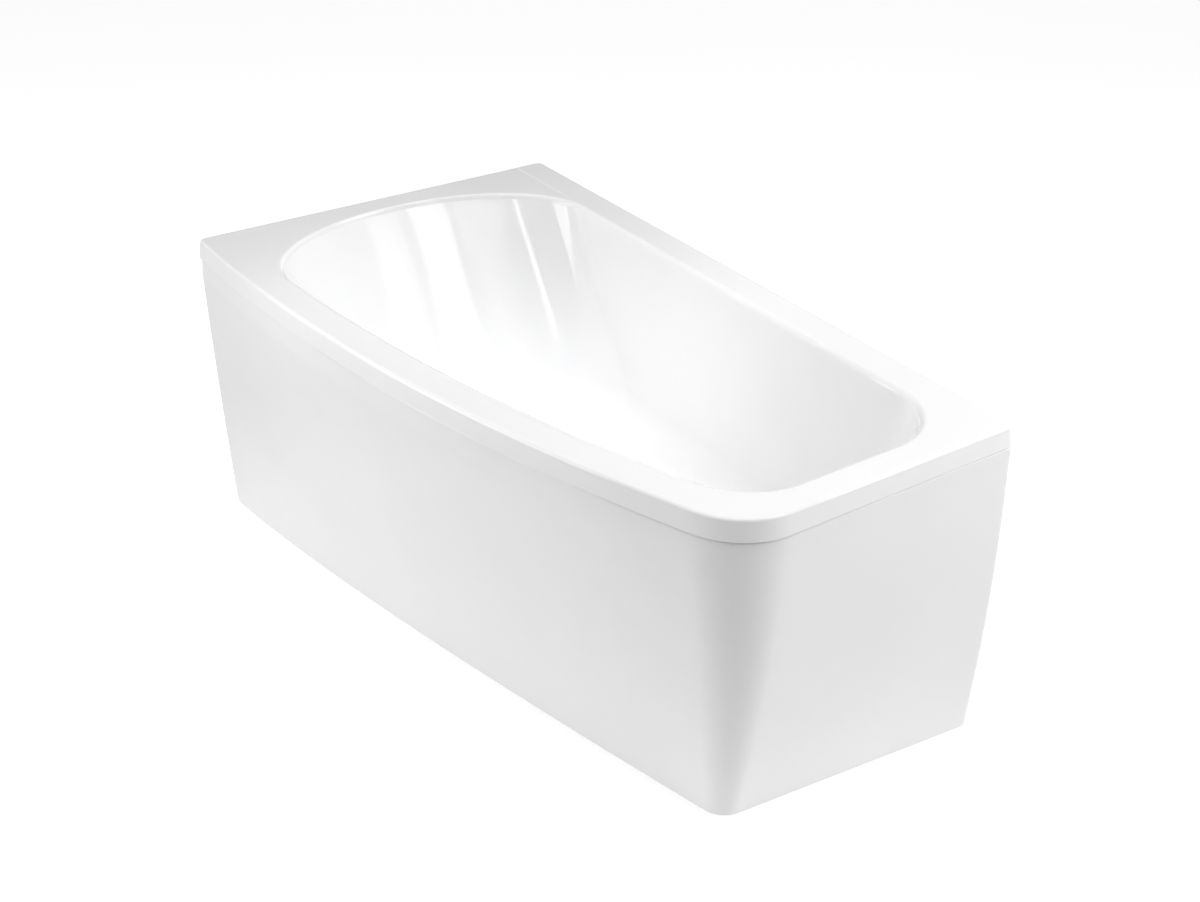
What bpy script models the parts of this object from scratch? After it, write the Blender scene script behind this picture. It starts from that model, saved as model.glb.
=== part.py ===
"""Panelled acrylic bath with a bowed front, on a levelling steel leg frame.

Metres, +Z up. The origin is under the middle of the bath, on the floor. -X is
the wide head end, +X the narrow foot end, +Y the long wall side and -Y the
bowed front. The moulded apron covers the front and the foot end.
"""
import bmesh
import bpy
from math import atan, atan2, cos, hypot, pi, radians, sin, sqrt, tan
from mathutils import Matrix, Vector

# Overall sizes
LENGTH = 1.500
WIDTH = 0.850
HEIGHT = 0.650

# Rim
LIP_HEIGHT = 0.038
LIP_DRAFT = 0.005
EDGE_ROLL = 0.007
SHELL_WALL = 0.005
FRONT_SWEEP = 0.280        # how far the front edge comes back at the foot end
FRONT_POWER = 2.2
WALL_CORNER = 0.020        # corners at the head end and at the wall
FRONT_CORNER = 0.090       # length of the big front corner along each edge

# Basin
DECK_REAR = 0.070
DECK_FRONT = 0.068
DECK_HEAD = 0.064
DECK_FOOT = 0.054
BASIN_ROLL = 0.013
BASIN_DEPTH = 0.420
FLOOR_FILLET_HEIGHT = 0.075
SIDE_LEAN = radians(5)
FOOT_LEAN = radians(8)
BACKREST_LEAN = radians(36)
HEAD_CORNER_LENGTH = 0.235  # long axis of the elliptical head end
HEAD_CORNER_SHARE = 0.49    # short axis, as a share of the basin's width
HEAD_CORNER_CLOSING = 0.4   # how fast the long axis shortens as the walls move in
FOOT_CORNER = 0.145
FOOT_CORNER_CLOSING = 0.5
FRONT_CORNER_SHARE = 0.72   # the basin's front corner, as a share of the wall-side one
FOOT_STRAIGHT = 0.104       # the foot wall stays straight for this long, for the overflow plate
FOOT_CORNERS_LEAST = 0.35   # share of the foot wall that its corners take up in a narrow basin

# Backing, board and battens
GAP = 0.0004
BACKING_WALL = 0.003
BACKING_DROP = 0.050       # the backing starts this far below the rim
BOARD_THICKNESS = 0.012
BOARD_MARGIN = 0.012
BATTEN_WIDTH = 0.036
BATTEN_INSET = 0.014       # from the outer face of the lip
BATTEN_END = 0.075
FOOT_BATTEN_TRIM = 0.006   # the foot batten is narrower, as the deck is there

# Apron
APRON_WALL = 0.004
APRON_GAP = 0.003          # shadow gap under the lip
APRON_LIFT = 0.003         # clearance to the floor
APRON_SHOULDER = 0.036
APRON_TUCK_FRONT = 0.004
APRON_TUCK_END = 0.002
APRON_TAPER_POWER = 1.6
APRON_FOOT_INSET = 0.013   # inset at the floor, at the head end
APRON_FOOT_SWEEP = 0.329
APRON_FOOT_POWER = 1.28
APRON_END_INSET = 0.016    # inset at the floor, at the wall
APRON_END_SLOPE = 0.109    # extra inset for each metre away from the wall
APRON_END_BARREL = 0.006
APRON_FLOOR_CORNER = 0.036
APRON_HEAD_CORNER = 0.024
APRON_WALL_CORNER = 0.014
APRON_RETURN = 0.045
APRON_TOP_FLANGE = 0.022
APRON_BOTTOM_FLANGE = 0.020
APRON_LEVELS = 6

# Clips, straps, screws and wall brackets
STRIP_STEEL = 0.003
CLIP_PLACES = (-0.367, -0.067, 0.233)      # along the bath, as shares of its length
CLIP_WIDTH = 0.040
CLIP_HOOK = 0.012          # overlap with the apron's top flange
CLIP_PAD = 0.028
STRAP_WIDTH = 0.020
STRAP_TOE = 0.0045
SCREW_HOLE = 0.0024
SCREW_RADIUS = 0.0018
SCREW_HEAD = 0.0042
BRACKET_FROM_END = 0.230
BRACKET_LEG = 0.060
BRACKET_WIDTH = 0.040

# Leg frame
RAIL = 0.025
RAIL_WALL = 0.002
REAR_RAIL_Y = WIDTH / 2 - 0.235
FRONT_RAIL_HEAD_Y = -WIDTH / 2 + 0.255
FRONT_RAIL_FOOT_Y = -WIDTH / 2 + 0.370
RAIL_REACH = 0.060         # the rails run past the channels
CHANNEL_WIDTH = 0.030
CHANNEL_WALL = 0.0025
HEAD_CHANNEL_X = -0.24 * LENGTH
FOOT_CHANNEL_X = 0.22 * LENGTH
HEAD_CHANNEL_FRONT_Y = -WIDTH / 2 + 0.125
FOOT_CHANNEL_FRONT_Y = -WIDTH / 2 + 0.260
CHANNEL_REAR_MARGIN = 0.016
POST = 0.022
FOOT_PAD_RADIUS = 0.025
FOOT_PAD_HEIGHT = 0.014
STUD_RADIUS = 0.005
STUD_CLEARANCE = 0.0004
STUD_ABOVE = 0.030
NUT_RADIUS = 0.0095
NUT_HEIGHT = 0.008
FOOT_FROM_REAR = 0.115
FEET_HEAD_Y = (HEAD_CHANNEL_FRONT_Y + 0.060, WIDTH / 2 - FOOT_FROM_REAR)
FEET_FOOT_Y = (FOOT_CHANNEL_FRONT_Y + 0.040, WIDTH / 2 - FOOT_FROM_REAR)

# Waste, trap and overflow
WASTE_FROM_FLOOR_END = 0.085
WASTE_ACROSS = 0.4897      # how far across the floor, as a share, counted from the wall side
WASTE_HOLE = 0.026
FLANGE_RADIUS = 0.035
FLANGE_HEIGHT = 0.003
THROAT_RADIUS = 0.0225
THROAT_WALL = 0.0025
GASKET_HEIGHT = 0.003
BODY_RADIUS = 0.028
BODY_WALL = 0.003
BODY_HEIGHT = 0.060
PLUG_RADIUS = 0.031
PLUG_LIP = 0.0022          # height of the closed cap over the flange
TRAP_RADIUS = 0.045
TRAP_HEIGHT = 0.066
TRAP_SHOULDER = 0.018
PIPE_RADIUS = 0.020
PIPE_WALL = 0.003
UNION_WALL = 0.008
OVERFLOW_DROP = 0.078
OVERFLOW_ACROSS = 0.4338    # where on the foot wall's straight stretch, as a share, from the front
OVERFLOW_HOLE = 0.024
KNOB_RADIUS = 0.034
KNOB_HEIGHT = 0.014
KNOB_LOBES = 6
KNOB_LOBE_DEPTH = 0.003
HOSE_RADIUS = 0.014
INLET_REACH = 0.026
OUTLET_REACH = 0.030
OVERFLOW_SPIGOT = 0.040

# Points along each stretch of a plan outline
FRONT_STEPS = 12
FOOT_STEPS = 4
REAR_STEPS = 8
HEAD_STEPS = 2
CORNER_STEPS = 6
ROUND = 20

# Levels worked out from the sizes above
FLOOR_Z = HEIGHT - BASIN_DEPTH
LIP_Z = HEIGHT - LIP_HEIGHT
BATTEN_Z = LIP_Z - LIP_DRAFT * SHELL_WALL / LIP_HEIGHT - 2 * GAP
BACKING_Z = FLOOR_Z - SHELL_WALL - GAP - BACKING_WALL
BOARD_Z = BACKING_Z - GAP - BOARD_THICKNESS
RAIL_Z = BOARD_Z - GAP - RAIL
CHANNEL_Z = RAIL_Z - GAP - RAIL


# ---------------------------------------------------------------- outlines

def front_y(x, inset):
    """The bowed front edge of the rim, moved inwards by inset."""
    along = (x + LENGTH / 2) / LENGTH
    slope = FRONT_SWEEP / LENGTH * FRONT_POWER * along ** (FRONT_POWER - 1)
    return -WIDTH / 2 + FRONT_SWEEP * along ** FRONT_POWER + inset * sqrt(1 + slope * slope)


def corner(start, bend, end, steps):
    """Points of a round corner that leaves start towards bend and arrives at end."""
    start, bend, end = Vector(start), Vector(bend), Vector(end)
    turn = (bend - start).angle(end - bend)
    pull = 4 / 3 * tan(turn / 4) / tan(turn / 2)
    handle_in = start.lerp(bend, pull)
    handle_out = end.lerp(bend, pull)
    points = []
    for step in range(steps):
        t = step / steps
        u = 1 - t
        inner = 3 * u * u * t * handle_in + 3 * u * t * t * handle_out
        points.append(u ** 3 * start + inner + t ** 3 * end)
    return points


def front_tangent(x, inset):
    """A point of the front edge and the edge's slope there."""
    step = 0.001
    y = front_y(x, inset)
    return Vector((x, y)), (front_y(x + step, inset) - y) / step


def outline(head, foot, rear, front, head_cut, foot_cut, front_cut, rear_cut):
    """A closed plan outline inside the rim, anticlockwise from the front head corner.

    The first four values are insets from the overall rectangle and its bowed
    front. The cuts are how far each corner eats into its two edges, as
    (along X, along Y).
    """
    x_head, x_foot, y_rear = -LENGTH / 2 + head, LENGTH / 2 - foot, WIDTH / 2 - rear
    near, near_slope = front_tangent(x_head + head_cut[0], front)
    far, far_slope = front_tangent(x_foot - front_cut[0], front)
    near_bend = Vector((x_head, near.y - near_slope * head_cut[0]))
    far_bend = Vector((x_foot, far.y + far_slope * front_cut[0]))
    foot_low = Vector((x_foot, far_bend.y + front_cut[1]))
    foot_high = Vector((x_foot, y_rear - foot_cut[1]))
    rear_foot = Vector((x_foot - foot_cut[0], y_rear))
    rear_head = Vector((x_head + rear_cut[0], y_rear))
    head_high = Vector((x_head, y_rear - rear_cut[1]))
    head_low = Vector((x_head, near_bend.y + head_cut[1]))
    points = corner(head_low, near_bend, near, CORNER_STEPS)
    for step in range(FRONT_STEPS):
        x = near.x + (far.x - near.x) * step / FRONT_STEPS
        points.append(Vector((x, front_y(x, front))))
    points += corner(far, far_bend, foot_low, CORNER_STEPS)
    points += [foot_low.lerp(foot_high, step / FOOT_STEPS) for step in range(FOOT_STEPS)]
    points += corner(foot_high, (x_foot, y_rear), rear_foot, CORNER_STEPS)
    points += [rear_foot.lerp(rear_head, step / REAR_STEPS) for step in range(REAR_STEPS)]
    points += corner(rear_head, (x_head, y_rear), head_high, CORNER_STEPS)
    points += [head_high.lerp(head_low, step / HEAD_STEPS) for step in range(HEAD_STEPS)]
    return points


def rim_outline(inset):
    """The outer edge of the rim, moved inwards by inset."""
    small = max(WALL_CORNER - inset, 0.004)
    large = FRONT_CORNER - inset * 0.6
    tight = (small, small)
    return outline(inset, inset, inset, inset, tight, tight, (large, large), tight)


def wall_inset(drop, lean):
    """How far a basin wall of this lean has moved in, this far below the rim."""
    start = BASIN_ROLL * (1 - sin(lean))
    fillet_top = BASIN_DEPTH - FLOOR_FILLET_HEIGHT
    if drop <= fillet_top:
        return start + tan(lean) * max(drop - BASIN_ROLL, 0)
    radius = FLOOR_FILLET_HEIGHT / (1 - sin(lean))
    above = BASIN_DEPTH - drop
    top = start + tan(lean) * (fillet_top - BASIN_ROLL)
    return top + radius * cos(lean) - sqrt(max(radius ** 2 - (radius - above) ** 2, 0))


def basin_outline(drop, roll=1.0):
    """The basin's inner face this far below the rim; roll below 1 is on the rim's soft edge."""
    side = DECK_REAR + wall_inset(drop, SIDE_LEAN) * roll
    front = DECK_FRONT + wall_inset(drop, SIDE_LEAN) * roll
    head = DECK_HEAD + wall_inset(drop, BACKREST_LEAN) * roll
    foot = DECK_FOOT + wall_inset(drop, FOOT_LEAN) * roll
    grown = side - DECK_REAR
    width = WIDTH / 2 - side - front_y(-LENGTH / 2 + head, front)
    head_cut = (HEAD_CORNER_LENGTH - HEAD_CORNER_CLOSING * grown, HEAD_CORNER_SHARE * width)
    foot_room = WIDTH / 2 - side - front_y(LENGTH / 2 - foot, front)
    most = max(foot_room - FOOT_STRAIGHT, foot_room * FOOT_CORNERS_LEAST) / (1 + FRONT_CORNER_SHARE)
    foot_cut = min(FOOT_CORNER - FOOT_CORNER_CLOSING * grown, most)
    front_cut = FRONT_CORNER_SHARE * foot_cut
    return outline(head, foot, side, front, head_cut, (foot_cut, foot_cut), (front_cut, front_cut), head_cut)


def wall_drops(first):
    """Depths of the basin's rings, from first down to the floor."""
    fillet_top = BASIN_DEPTH - FLOOR_FILLET_HEIGHT
    drops = [first + (fillet_top - first) * step / 3 for step in range(4)]
    arc = [FLOOR_FILLET_HEIGHT * (1 - cos(pi / 2 * step / 5)) for step in (4, 3, 2, 1, 0)]
    return drops + [BASIN_DEPTH - above for above in arc]


# ------------------------------------------------------------- construction

def clear_scene():
    for item in list(bpy.data.objects):
        bpy.data.objects.remove(item, do_unlink=True)


def material(name, colour, roughness, metallic=0.0):
    found = bpy.data.materials.get(name)
    if found:
        return found
    made = bpy.data.materials.new(name)
    made.use_nodes = True
    shader = made.node_tree.nodes["Principled BSDF"]
    shader.inputs["Base Color"].default_value = (*colour, 1.0)
    shader.inputs["Roughness"].default_value = roughness
    shader.inputs["Metallic"].default_value = metallic
    made.diffuse_color = (*colour, 1.0)
    return made


def acrylic():
    return material("white_acrylic", (0.88, 0.88, 0.87), 0.12)


def resin_backing():
    return material("resin_backing", (0.62, 0.60, 0.52), 0.6)


def timber():
    return material("timber_board", (0.55, 0.40, 0.24), 0.7)


def zinc_steel():
    return material("zinc_steel", (0.60, 0.61, 0.63), 0.35, 1.0)


def chrome():
    return material("chrome_plate", (0.80, 0.80, 0.82), 0.08, 1.0)


def white_plastic():
    return material("white_plastic", (0.80, 0.80, 0.79), 0.4)


def black_plastic():
    return material("black_plastic", (0.04, 0.04, 0.045), 0.5)


def rubber():
    return material("black_rubber", (0.03, 0.03, 0.03), 0.8)


def grey_hose():
    return material("grey_hose", (0.45, 0.46, 0.47), 0.5)


def add_object(name, bm, finish, smooth=True, parent=None, recalc=True):
    """Turn a bmesh into a named object with one finish."""
    if recalc:
        bmesh.ops.recalc_face_normals(bm, faces=bm.faces)
    mesh = bpy.data.meshes.new(name)
    bm.to_mesh(mesh)
    bm.free()
    if smooth:
        mesh.shade_smooth()
        mesh.set_sharp_from_angle(angle=radians(35))
    item = bpy.data.objects.new(name, mesh)
    bpy.context.collection.objects.link(item)
    item.data.materials.append(finish)
    item.parent = parent
    return item


def add_empty(name, matrix):
    item = bpy.data.objects.new(name, None)
    bpy.context.collection.objects.link(item)
    item.matrix_world = matrix
    return item


def box(name, low, high, finish, parent=None):
    bm = bmesh.new()
    bmesh.ops.create_cube(bm, size=1.0)
    size = Vector(high) - Vector(low)
    middle = (Vector(high) + Vector(low)) / 2
    bmesh.ops.scale(bm, vec=size, verts=bm.verts)
    bmesh.ops.translate(bm, vec=middle, verts=bm.verts)
    return add_object(name, bm, finish, smooth=False, parent=parent)


def turned(name, profile, finish, parent=None, sides=ROUND, loop=False):
    """A round piece: profile points (radius, height) turned about Z.

    With loop the profile closes on itself, which leaves a hole in the middle.
    """
    bm = bmesh.new()
    rings = []
    for radius, height in profile:
        if radius == 0:
            rings.append([bm.verts.new((0, 0, height))])
            continue
        turns = [2 * pi * step / sides for step in range(sides)]
        rings.append([bm.verts.new((radius * cos(a), radius * sin(a), height)) for a in turns])
    pairs = list(zip(rings, rings[1:]))
    if loop:
        pairs.append((rings[-1], rings[0]))
    for ring, following in pairs:
        for step in range(sides):
            after = (step + 1) % sides
            if len(ring) == 1:
                bm.faces.new((ring[0], following[after], following[step]))
            elif len(following) == 1:
                bm.faces.new((ring[step], ring[after], following[0]))
            else:
                bm.faces.new((ring[step], ring[after], following[after], following[step]))
    return add_object(name, bm, finish, parent=parent)


def rod(name, radius, low, high, finish, parent=None, sides=ROUND):
    return turned(name, [(0, low), (radius, low), (radius, high), (0, high)], finish, parent, sides)


def washer(name, inner, outer, low, high, finish, parent=None, sides=ROUND):
    profile = [(inner, low), (outer, low), (outer, high), (inner, high)]
    return turned(name, profile, finish, parent, sides, loop=True)


def hex_nut(name, inner, outer, low, height, finish, parent=None):
    """A hexagonal nut with a round hole; outer is the radius over its corners."""
    turns = [2 * pi * step / 12 for step in range(12)]
    bm = bmesh.new()
    rings = []
    for z, round_hole in ((low, True), (low, False), (low + height, False), (low + height, True)):
        ring = []
        for step, turn in enumerate(turns):
            reach = outer if step % 2 == 0 else outer * cos(pi / 6)
            reach = inner / cos(pi / 12) if round_hole else reach
            ring.append(bm.verts.new((reach * cos(turn), reach * sin(turn), z)))
        rings.append(ring)
    for ring, following in zip(rings, rings[1:] + rings[:1]):
        for step in range(12):
            after = (step + 1) % 12
            bm.faces.new((ring[step], ring[after], following[after], following[step]))
    return add_object(name, bm, finish, smooth=False, parent=parent)


def place(item, location, turn=(0, 0, 0)):
    item.location = location
    item.rotation_euler = turn
    return item


def prism(name, points, axis_points, finish, parent=None):
    """A flat outline swept in a straight line between two vectors."""
    bm = bmesh.new()
    low = [bm.verts.new(Vector(point) + Vector(axis_points[0])) for point in points]
    high = [bm.verts.new(Vector(point) + Vector(axis_points[1])) for point in points]
    bm.faces.new(low)
    bm.faces.new(reversed(high))
    for step in range(len(points)):
        after = (step + 1) % len(points)
        bm.faces.new((low[step], high[step], high[after], low[after]))
    return add_object(name, bm, finish, smooth=False, parent=parent)


def sheet(rings, closed, cap_last=False):
    """Join rings of points into one open surface, split into triangles."""
    bm = bmesh.new()
    rows = [[bm.verts.new(point) for point in ring] for ring in rings]
    count = len(rows[0])
    for row, following in zip(rows, rows[1:]):
        for step in range(count if closed else count - 1):
            after = (step + 1) % count
            bm.faces.new((row[step], row[after], following[after], following[step]))
    if cap_last:
        bm.faces.new(rows[-1])
    bmesh.ops.triangulate(bm, faces=bm.faces)
    return bm


def thicken(item, wall, start=0.0):
    """Give a surface its wall, from start to start + wall behind its face."""
    made = item.modifiers.new("wall", "SOLIDIFY")
    made.thickness = wall
    made.offset = -1 - 2 * start / wall
    made.use_even_offset = True
    return made


def cutter(name, radius, low, high, matrix):
    """A round drill, hidden in renders, along the local Z of matrix."""
    item = rod(name, radius, low, high, zinc_steel())
    item.matrix_world = matrix
    item.hide_render = True
    item.display_type = "WIRE"
    return item


def cut(item, tool):
    made = item.modifiers.new(tool.name, "BOOLEAN")
    made.operation = "DIFFERENCE"
    made.object = tool
    return made


def add_spigot(item, name, outer, inner, reach, matrix):
    """Join a pipe stub to a hollow piece and bore it through the wall."""
    stub = cutter(f"{name}_stub", outer, *reach, matrix)
    join = item.modifiers.new(name, "BOOLEAN")
    join.operation = "UNION"
    join.object = stub
    cut(item, cutter(f"{name}_bore", inner, reach[0] - 0.012, reach[1] + 0.02, matrix))


def at_height(points, z):
    return [Vector((point.x, point.y, z)) for point in points]


# ---------------------------------------------------------------- the places

def waste_place():
    """Middle of the waste hole, on the basin floor."""
    side = wall_inset(BASIN_DEPTH, SIDE_LEAN)
    x = LENGTH / 2 - DECK_FOOT - wall_inset(BASIN_DEPTH, FOOT_LEAN) - WASTE_FROM_FLOOR_END
    rear = WIDTH / 2 - DECK_REAR - side
    y = rear + (front_y(x, DECK_FRONT + side) - rear) * WASTE_ACROSS
    return Vector((x, y, FLOOR_Z))


def overflow_matrix():
    """Frame on the foot wall: origin on the inner face, +Z out of the wall into the basin."""
    x = LENGTH / 2 - DECK_FOOT - wall_inset(OVERFLOW_DROP, FOOT_LEAN)
    wall = [point.y for point in basin_outline(OVERFLOW_DROP) if point.x > x - 1e-6]
    y = min(wall) + (max(wall) - min(wall)) * OVERFLOW_ACROSS
    place_at = Matrix.Translation((x, y, HEIGHT - OVERFLOW_DROP))
    return place_at @ Matrix.Rotation(-(pi / 2 - FOOT_LEAN), 4, "Y")


def waste_matrix(z=0.0):
    where = waste_place()
    return Matrix.Translation((where.x, where.y, z))


# ----------------------------------------------------------------- the shell

def shell_rings():
    """Rings of the acrylic sheet from the lip's lower edge to the basin floor."""
    rings = [at_height(rim_outline(0), LIP_Z)]
    rings.append(at_height(rim_outline(LIP_DRAFT), HEIGHT - EDGE_ROLL))
    for turn in (pi / 4, pi / 2):
        inset = LIP_DRAFT + EDGE_ROLL * (1 - cos(turn))
        rings.append(at_height(rim_outline(inset), HEIGHT - EDGE_ROLL * (1 - sin(turn))))
    for turn in (0, pi / 6, pi / 3):
        drop = BASIN_ROLL * (1 - cos(turn))
        rings.append(at_height(basin_outline(0, sin(turn)), HEIGHT - drop))
    rings.append(at_height(basin_outline(BASIN_ROLL), HEIGHT - BASIN_ROLL))
    rings += backing_rings()
    return rings


def backing_rings():
    return [at_height(basin_outline(drop), HEIGHT - drop) for drop in wall_drops(BACKING_DROP)]


def make_shell():
    item = add_object("bath_shell", sheet(shell_rings(), True, True), acrylic(), recalc=False)
    thicken(item, SHELL_WALL)
    return item


def make_backing():
    surface = sheet(backing_rings(), True, True)
    item = add_object("resin_backing_skin", surface, resin_backing(), recalc=False)
    thicken(item, BACKING_WALL, SHELL_WALL + GAP)
    return item


def make_base_board():
    """Board bonded under the basin floor, following the floor's outline."""
    rim = basin_outline(BASIN_DEPTH)
    middle = sum(rim, Vector((0, 0))) / len(rim)
    points = []
    for point in rim:
        away = point - middle
        kept = middle + away * (1 - BOARD_MARGIN / away.length)
        points.append((kept.x, kept.y, 0))
    return prism("base_board", points, ((0, 0, BOARD_Z), (0, 0, BOARD_Z + BOARD_THICKNESS)), timber())


def drill_basin(shell, backing, board):
    """Waste and overflow holes through everything that they pass."""
    waste = cutter("waste_drill", WASTE_HOLE, -0.03, 0.03, waste_matrix(FLOOR_Z))
    overflow = cutter("overflow_drill", OVERFLOW_HOLE, -0.03, 0.03, overflow_matrix())
    recess = cutter("board_drill", FLANGE_RADIUS + 0.008, -0.03, 0.03, waste_matrix(BOARD_Z))
    for item in (shell, backing):
        cut(item, waste)
        cut(item, overflow)
    cut(board, recess)


def make_battens():
    """Timber strips under the rim on the wall side and at both ends."""
    top = HEIGHT - SHELL_WALL - GAP
    near, far = BATTEN_INSET, BATTEN_INSET + BATTEN_WIDTH
    y_wall, x_wall = WIDTH / 2, LENGTH / 2
    end = x_wall - BATTEN_END
    box("rear_batten", (-end, y_wall - far, BATTEN_Z), (end, y_wall - near, top), timber())
    head_low = -y_wall + BATTEN_END
    rear_end = y_wall - BATTEN_END
    box("head_batten", (-x_wall + near, head_low, BATTEN_Z), (-x_wall + far, rear_end, top), timber())
    low = (x_wall - far + FOOT_BATTEN_TRIM, basin_straight_low(), BATTEN_Z)
    box("foot_batten", low, (x_wall - near, rear_end, top), timber())


def basin_straight_low():
    """Where the straight foot edge of the basin begins, at the front."""
    far_y = front_y(LENGTH / 2 - DECK_FOOT, DECK_FRONT)
    return far_y + FRONT_CORNER_SHARE * FOOT_CORNER


# ----------------------------------------------------------------- the apron

def apron_front_y(x, inset, weight):
    """The apron's front face: the rim's bow at weight 0, the floor's at weight 1."""
    along = max((x + LENGTH / 2) / LENGTH, 0)
    floor = -WIDTH / 2 + APRON_FOOT_INSET + APRON_FOOT_SWEEP * along ** APRON_FOOT_POWER
    return (1 - weight) * front_y(x, 0) + weight * floor + inset * 1.04


def apron_end_x(y, inset, weight, barrel):
    """The apron's foot end face."""
    away = WIDTH / 2 - y
    return LENGTH / 2 - inset - weight * (APRON_END_INSET + APRON_END_SLOPE * away) + barrel


def apron_path(depth, tuck_front, tuck_end, extra=0.0):
    """Plan line of the apron at a depth (0 at the shoulder, 1 at the floor).

    It runs from the return on the head wall, along the front, round the front
    corner and along the foot end to the return on the rear wall.
    """
    weight = depth ** APRON_TAPER_POWER
    front, end = tuck_front + extra, tuck_end + extra
    barrel = APRON_END_BARREL * sin(pi * depth)
    x_head, y_rear = -LENGTH / 2 + extra, WIDTH / 2 - extra
    head_cut = max(APRON_HEAD_CORNER - extra, 0.002)
    wall_cut = max(APRON_WALL_CORNER - extra, 0.002)
    large = FRONT_CORNER + (APRON_FLOOR_CORNER - FRONT_CORNER) * depth - 0.5 * extra
    step = 0.001

    def face_y(x):
        return apron_front_y(x, front, weight)

    def face_x(y):
        return apron_end_x(y, end, weight, barrel)

    start = Vector((x_head, -WIDTH / 2 + APRON_RETURN))
    near_bend = Vector((x_head, face_y(x_head)))
    near = Vector((x_head + head_cut, face_y(x_head + head_cut)))
    points = [start]
    points += corner(near_bend + Vector((0, head_cut)), near_bend, near, CORNER_STEPS)
    bend_y = face_y(LENGTH / 2)
    for _ in range(8):
        bend_y = face_y(face_x(bend_y))
    far_bend = Vector((face_x(bend_y), bend_y))
    far = Vector((far_bend.x - large, face_y(far_bend.x - large)))
    slope = (face_y(far.x + step) - far.y) / step
    end_low = Vector((face_x(far_bend.y + large), far_bend.y + large))
    end_slope = (face_x(end_low.y - step) - end_low.x) / step
    meet_y = (far.y + slope * (end_low.x + end_slope * end_low.y - far.x)) / (1 + slope * end_slope)
    meet = Vector((end_low.x + end_slope * (end_low.y - meet_y), meet_y))
    for index in range(FRONT_STEPS):
        x = near.x + (far.x - near.x) * index / FRONT_STEPS
        points.append(Vector((x, face_y(x))))
    points += corner(far, meet, end_low, CORNER_STEPS)
    end_high = Vector((face_x(y_rear - wall_cut), y_rear - wall_cut))
    for index in range(FOOT_STEPS):
        y = end_low.y + (end_high.y - end_low.y) * index / FOOT_STEPS
        points.append(Vector((face_x(y), y)))
    wall_bend = Vector((face_x(y_rear), y_rear))
    points += corner(end_high, wall_bend, wall_bend - Vector((wall_cut, 0)), CORNER_STEPS // 2)
    points.append(wall_bend - Vector((wall_cut, 0)))
    points.append(Vector((LENGTH / 2 - APRON_RETURN, y_rear)))
    return points


def apron_top():
    return LIP_Z - APRON_GAP


def apron_rings():
    shoulder = apron_top() - APRON_SHOULDER
    tucked = (APRON_TUCK_FRONT, APRON_TUCK_END)
    full = (0.001, 0.002)
    rings = [at_height(apron_path(0, *tucked, APRON_TOP_FLANGE), apron_top())]
    rings.append(at_height(apron_path(0, *tucked), apron_top()))
    for level in range(APRON_LEVELS + 1):
        depth = level / APRON_LEVELS
        z = shoulder + (APRON_LIFT - shoulder) * depth
        rings.append(at_height(apron_path(depth, *full), z))
    rings.append(at_height(apron_path(1, *full, APRON_BOTTOM_FLANGE), APRON_LIFT))
    return list(reversed(rings))


def make_apron():
    item = add_object("apron_panel", sheet(apron_rings(), False), acrylic(), recalc=False)
    thicken(item, APRON_WALL)
    return item


def rim_frame(x):
    """Frame on the front rim edge at x: +X along the edge, +Y inwards, at floor height."""
    point, slope = front_tangent(x, 0)
    return Matrix.Translation((point.x, point.y, 0)) @ Matrix.Rotation(atan(slope), 4, "Z")


def make_rim_clips():
    """Z clips bonded under the deck that the apron's top flange hooks onto."""
    flange_end = APRON_TUCK_FRONT + APRON_TOP_FLANGE
    wall, half = STRIP_STEEL, CLIP_WIDTH / 2
    near, web, far = flange_end - CLIP_HOOK, flange_end + 0.005, flange_end + CLIP_PAD
    low = apron_top() - APRON_WALL - 2 * GAP
    top = HEIGHT - SHELL_WALL - GAP
    profile = [(0, near, low - wall), (0, web + wall, low - wall), (0, web + wall, top - wall)]
    profile += [(0, far, top - wall), (0, far, top), (0, web, top), (0, web, low), (0, near, low)]
    for index, share in enumerate(CLIP_PLACES, start=1):
        place_at = add_empty(f"rim_clip_place_{index}", rim_frame(share * LENGTH))
        prism(f"rim_clip_{index}", profile, ((-half, 0, 0), (half, 0, 0)), zinc_steel(), place_at)


def make_apron_struts(apron):
    """Straps from the channels' front ends down to the apron's lower flange, each with a screw."""
    make_apron_strut(apron, "head", HEAD_CHANNEL_X, HEAD_CHANNEL_FRONT_Y)
    make_apron_strut(apron, "foot", FOOT_CHANNEL_X, FOOT_CHANNEL_FRONT_Y)


def make_apron_strut(apron, label, x, y):
    screw_y = apron_front_y(x, APRON_WALL, 1) + (APRON_BOTTOM_FLANGE - APRON_WALL) * 0.6
    toe_y = screw_y - STRAP_TOE
    wall, half = STRIP_STEEL, STRAP_WIDTH / 2
    low, back = APRON_LIFT + APRON_WALL + GAP, y - GAP
    profile = [(0, back, CHANNEL_Z + RAIL), (0, back - wall, CHANNEL_Z + RAIL), (0, back - wall, low + wall)]
    profile += [(0, toe_y, low + wall), (0, toe_y, low), (0, back, low)]
    strut = prism(f"{label}_apron_strut", profile, ((x - half, 0, 0), (x + half, 0, 0)), zinc_steel())
    where = Matrix.Translation((x, screw_y, 0))
    for item, kind in ((strut, "strut"), (apron, "flange")):
        cut(item, cutter(f"{label}_{kind}_drill", SCREW_HOLE, low - STRAP_TOE, low + wall + 0.01, where))
    head, tip = low + wall + GAP, low - 0.0038
    profile = [(0, tip), (SCREW_RADIUS, tip), (SCREW_RADIUS, head), (SCREW_HEAD, head)]
    profile += [(SCREW_HEAD, head + 0.002), (0.003, head + 0.003), (0, head + 0.003)]
    place(turned(f"{label}_apron_screw", profile, zinc_steel(), sides=12), (x, screw_y, 0))


# ------------------------------------------------------------- the leg frame

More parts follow.
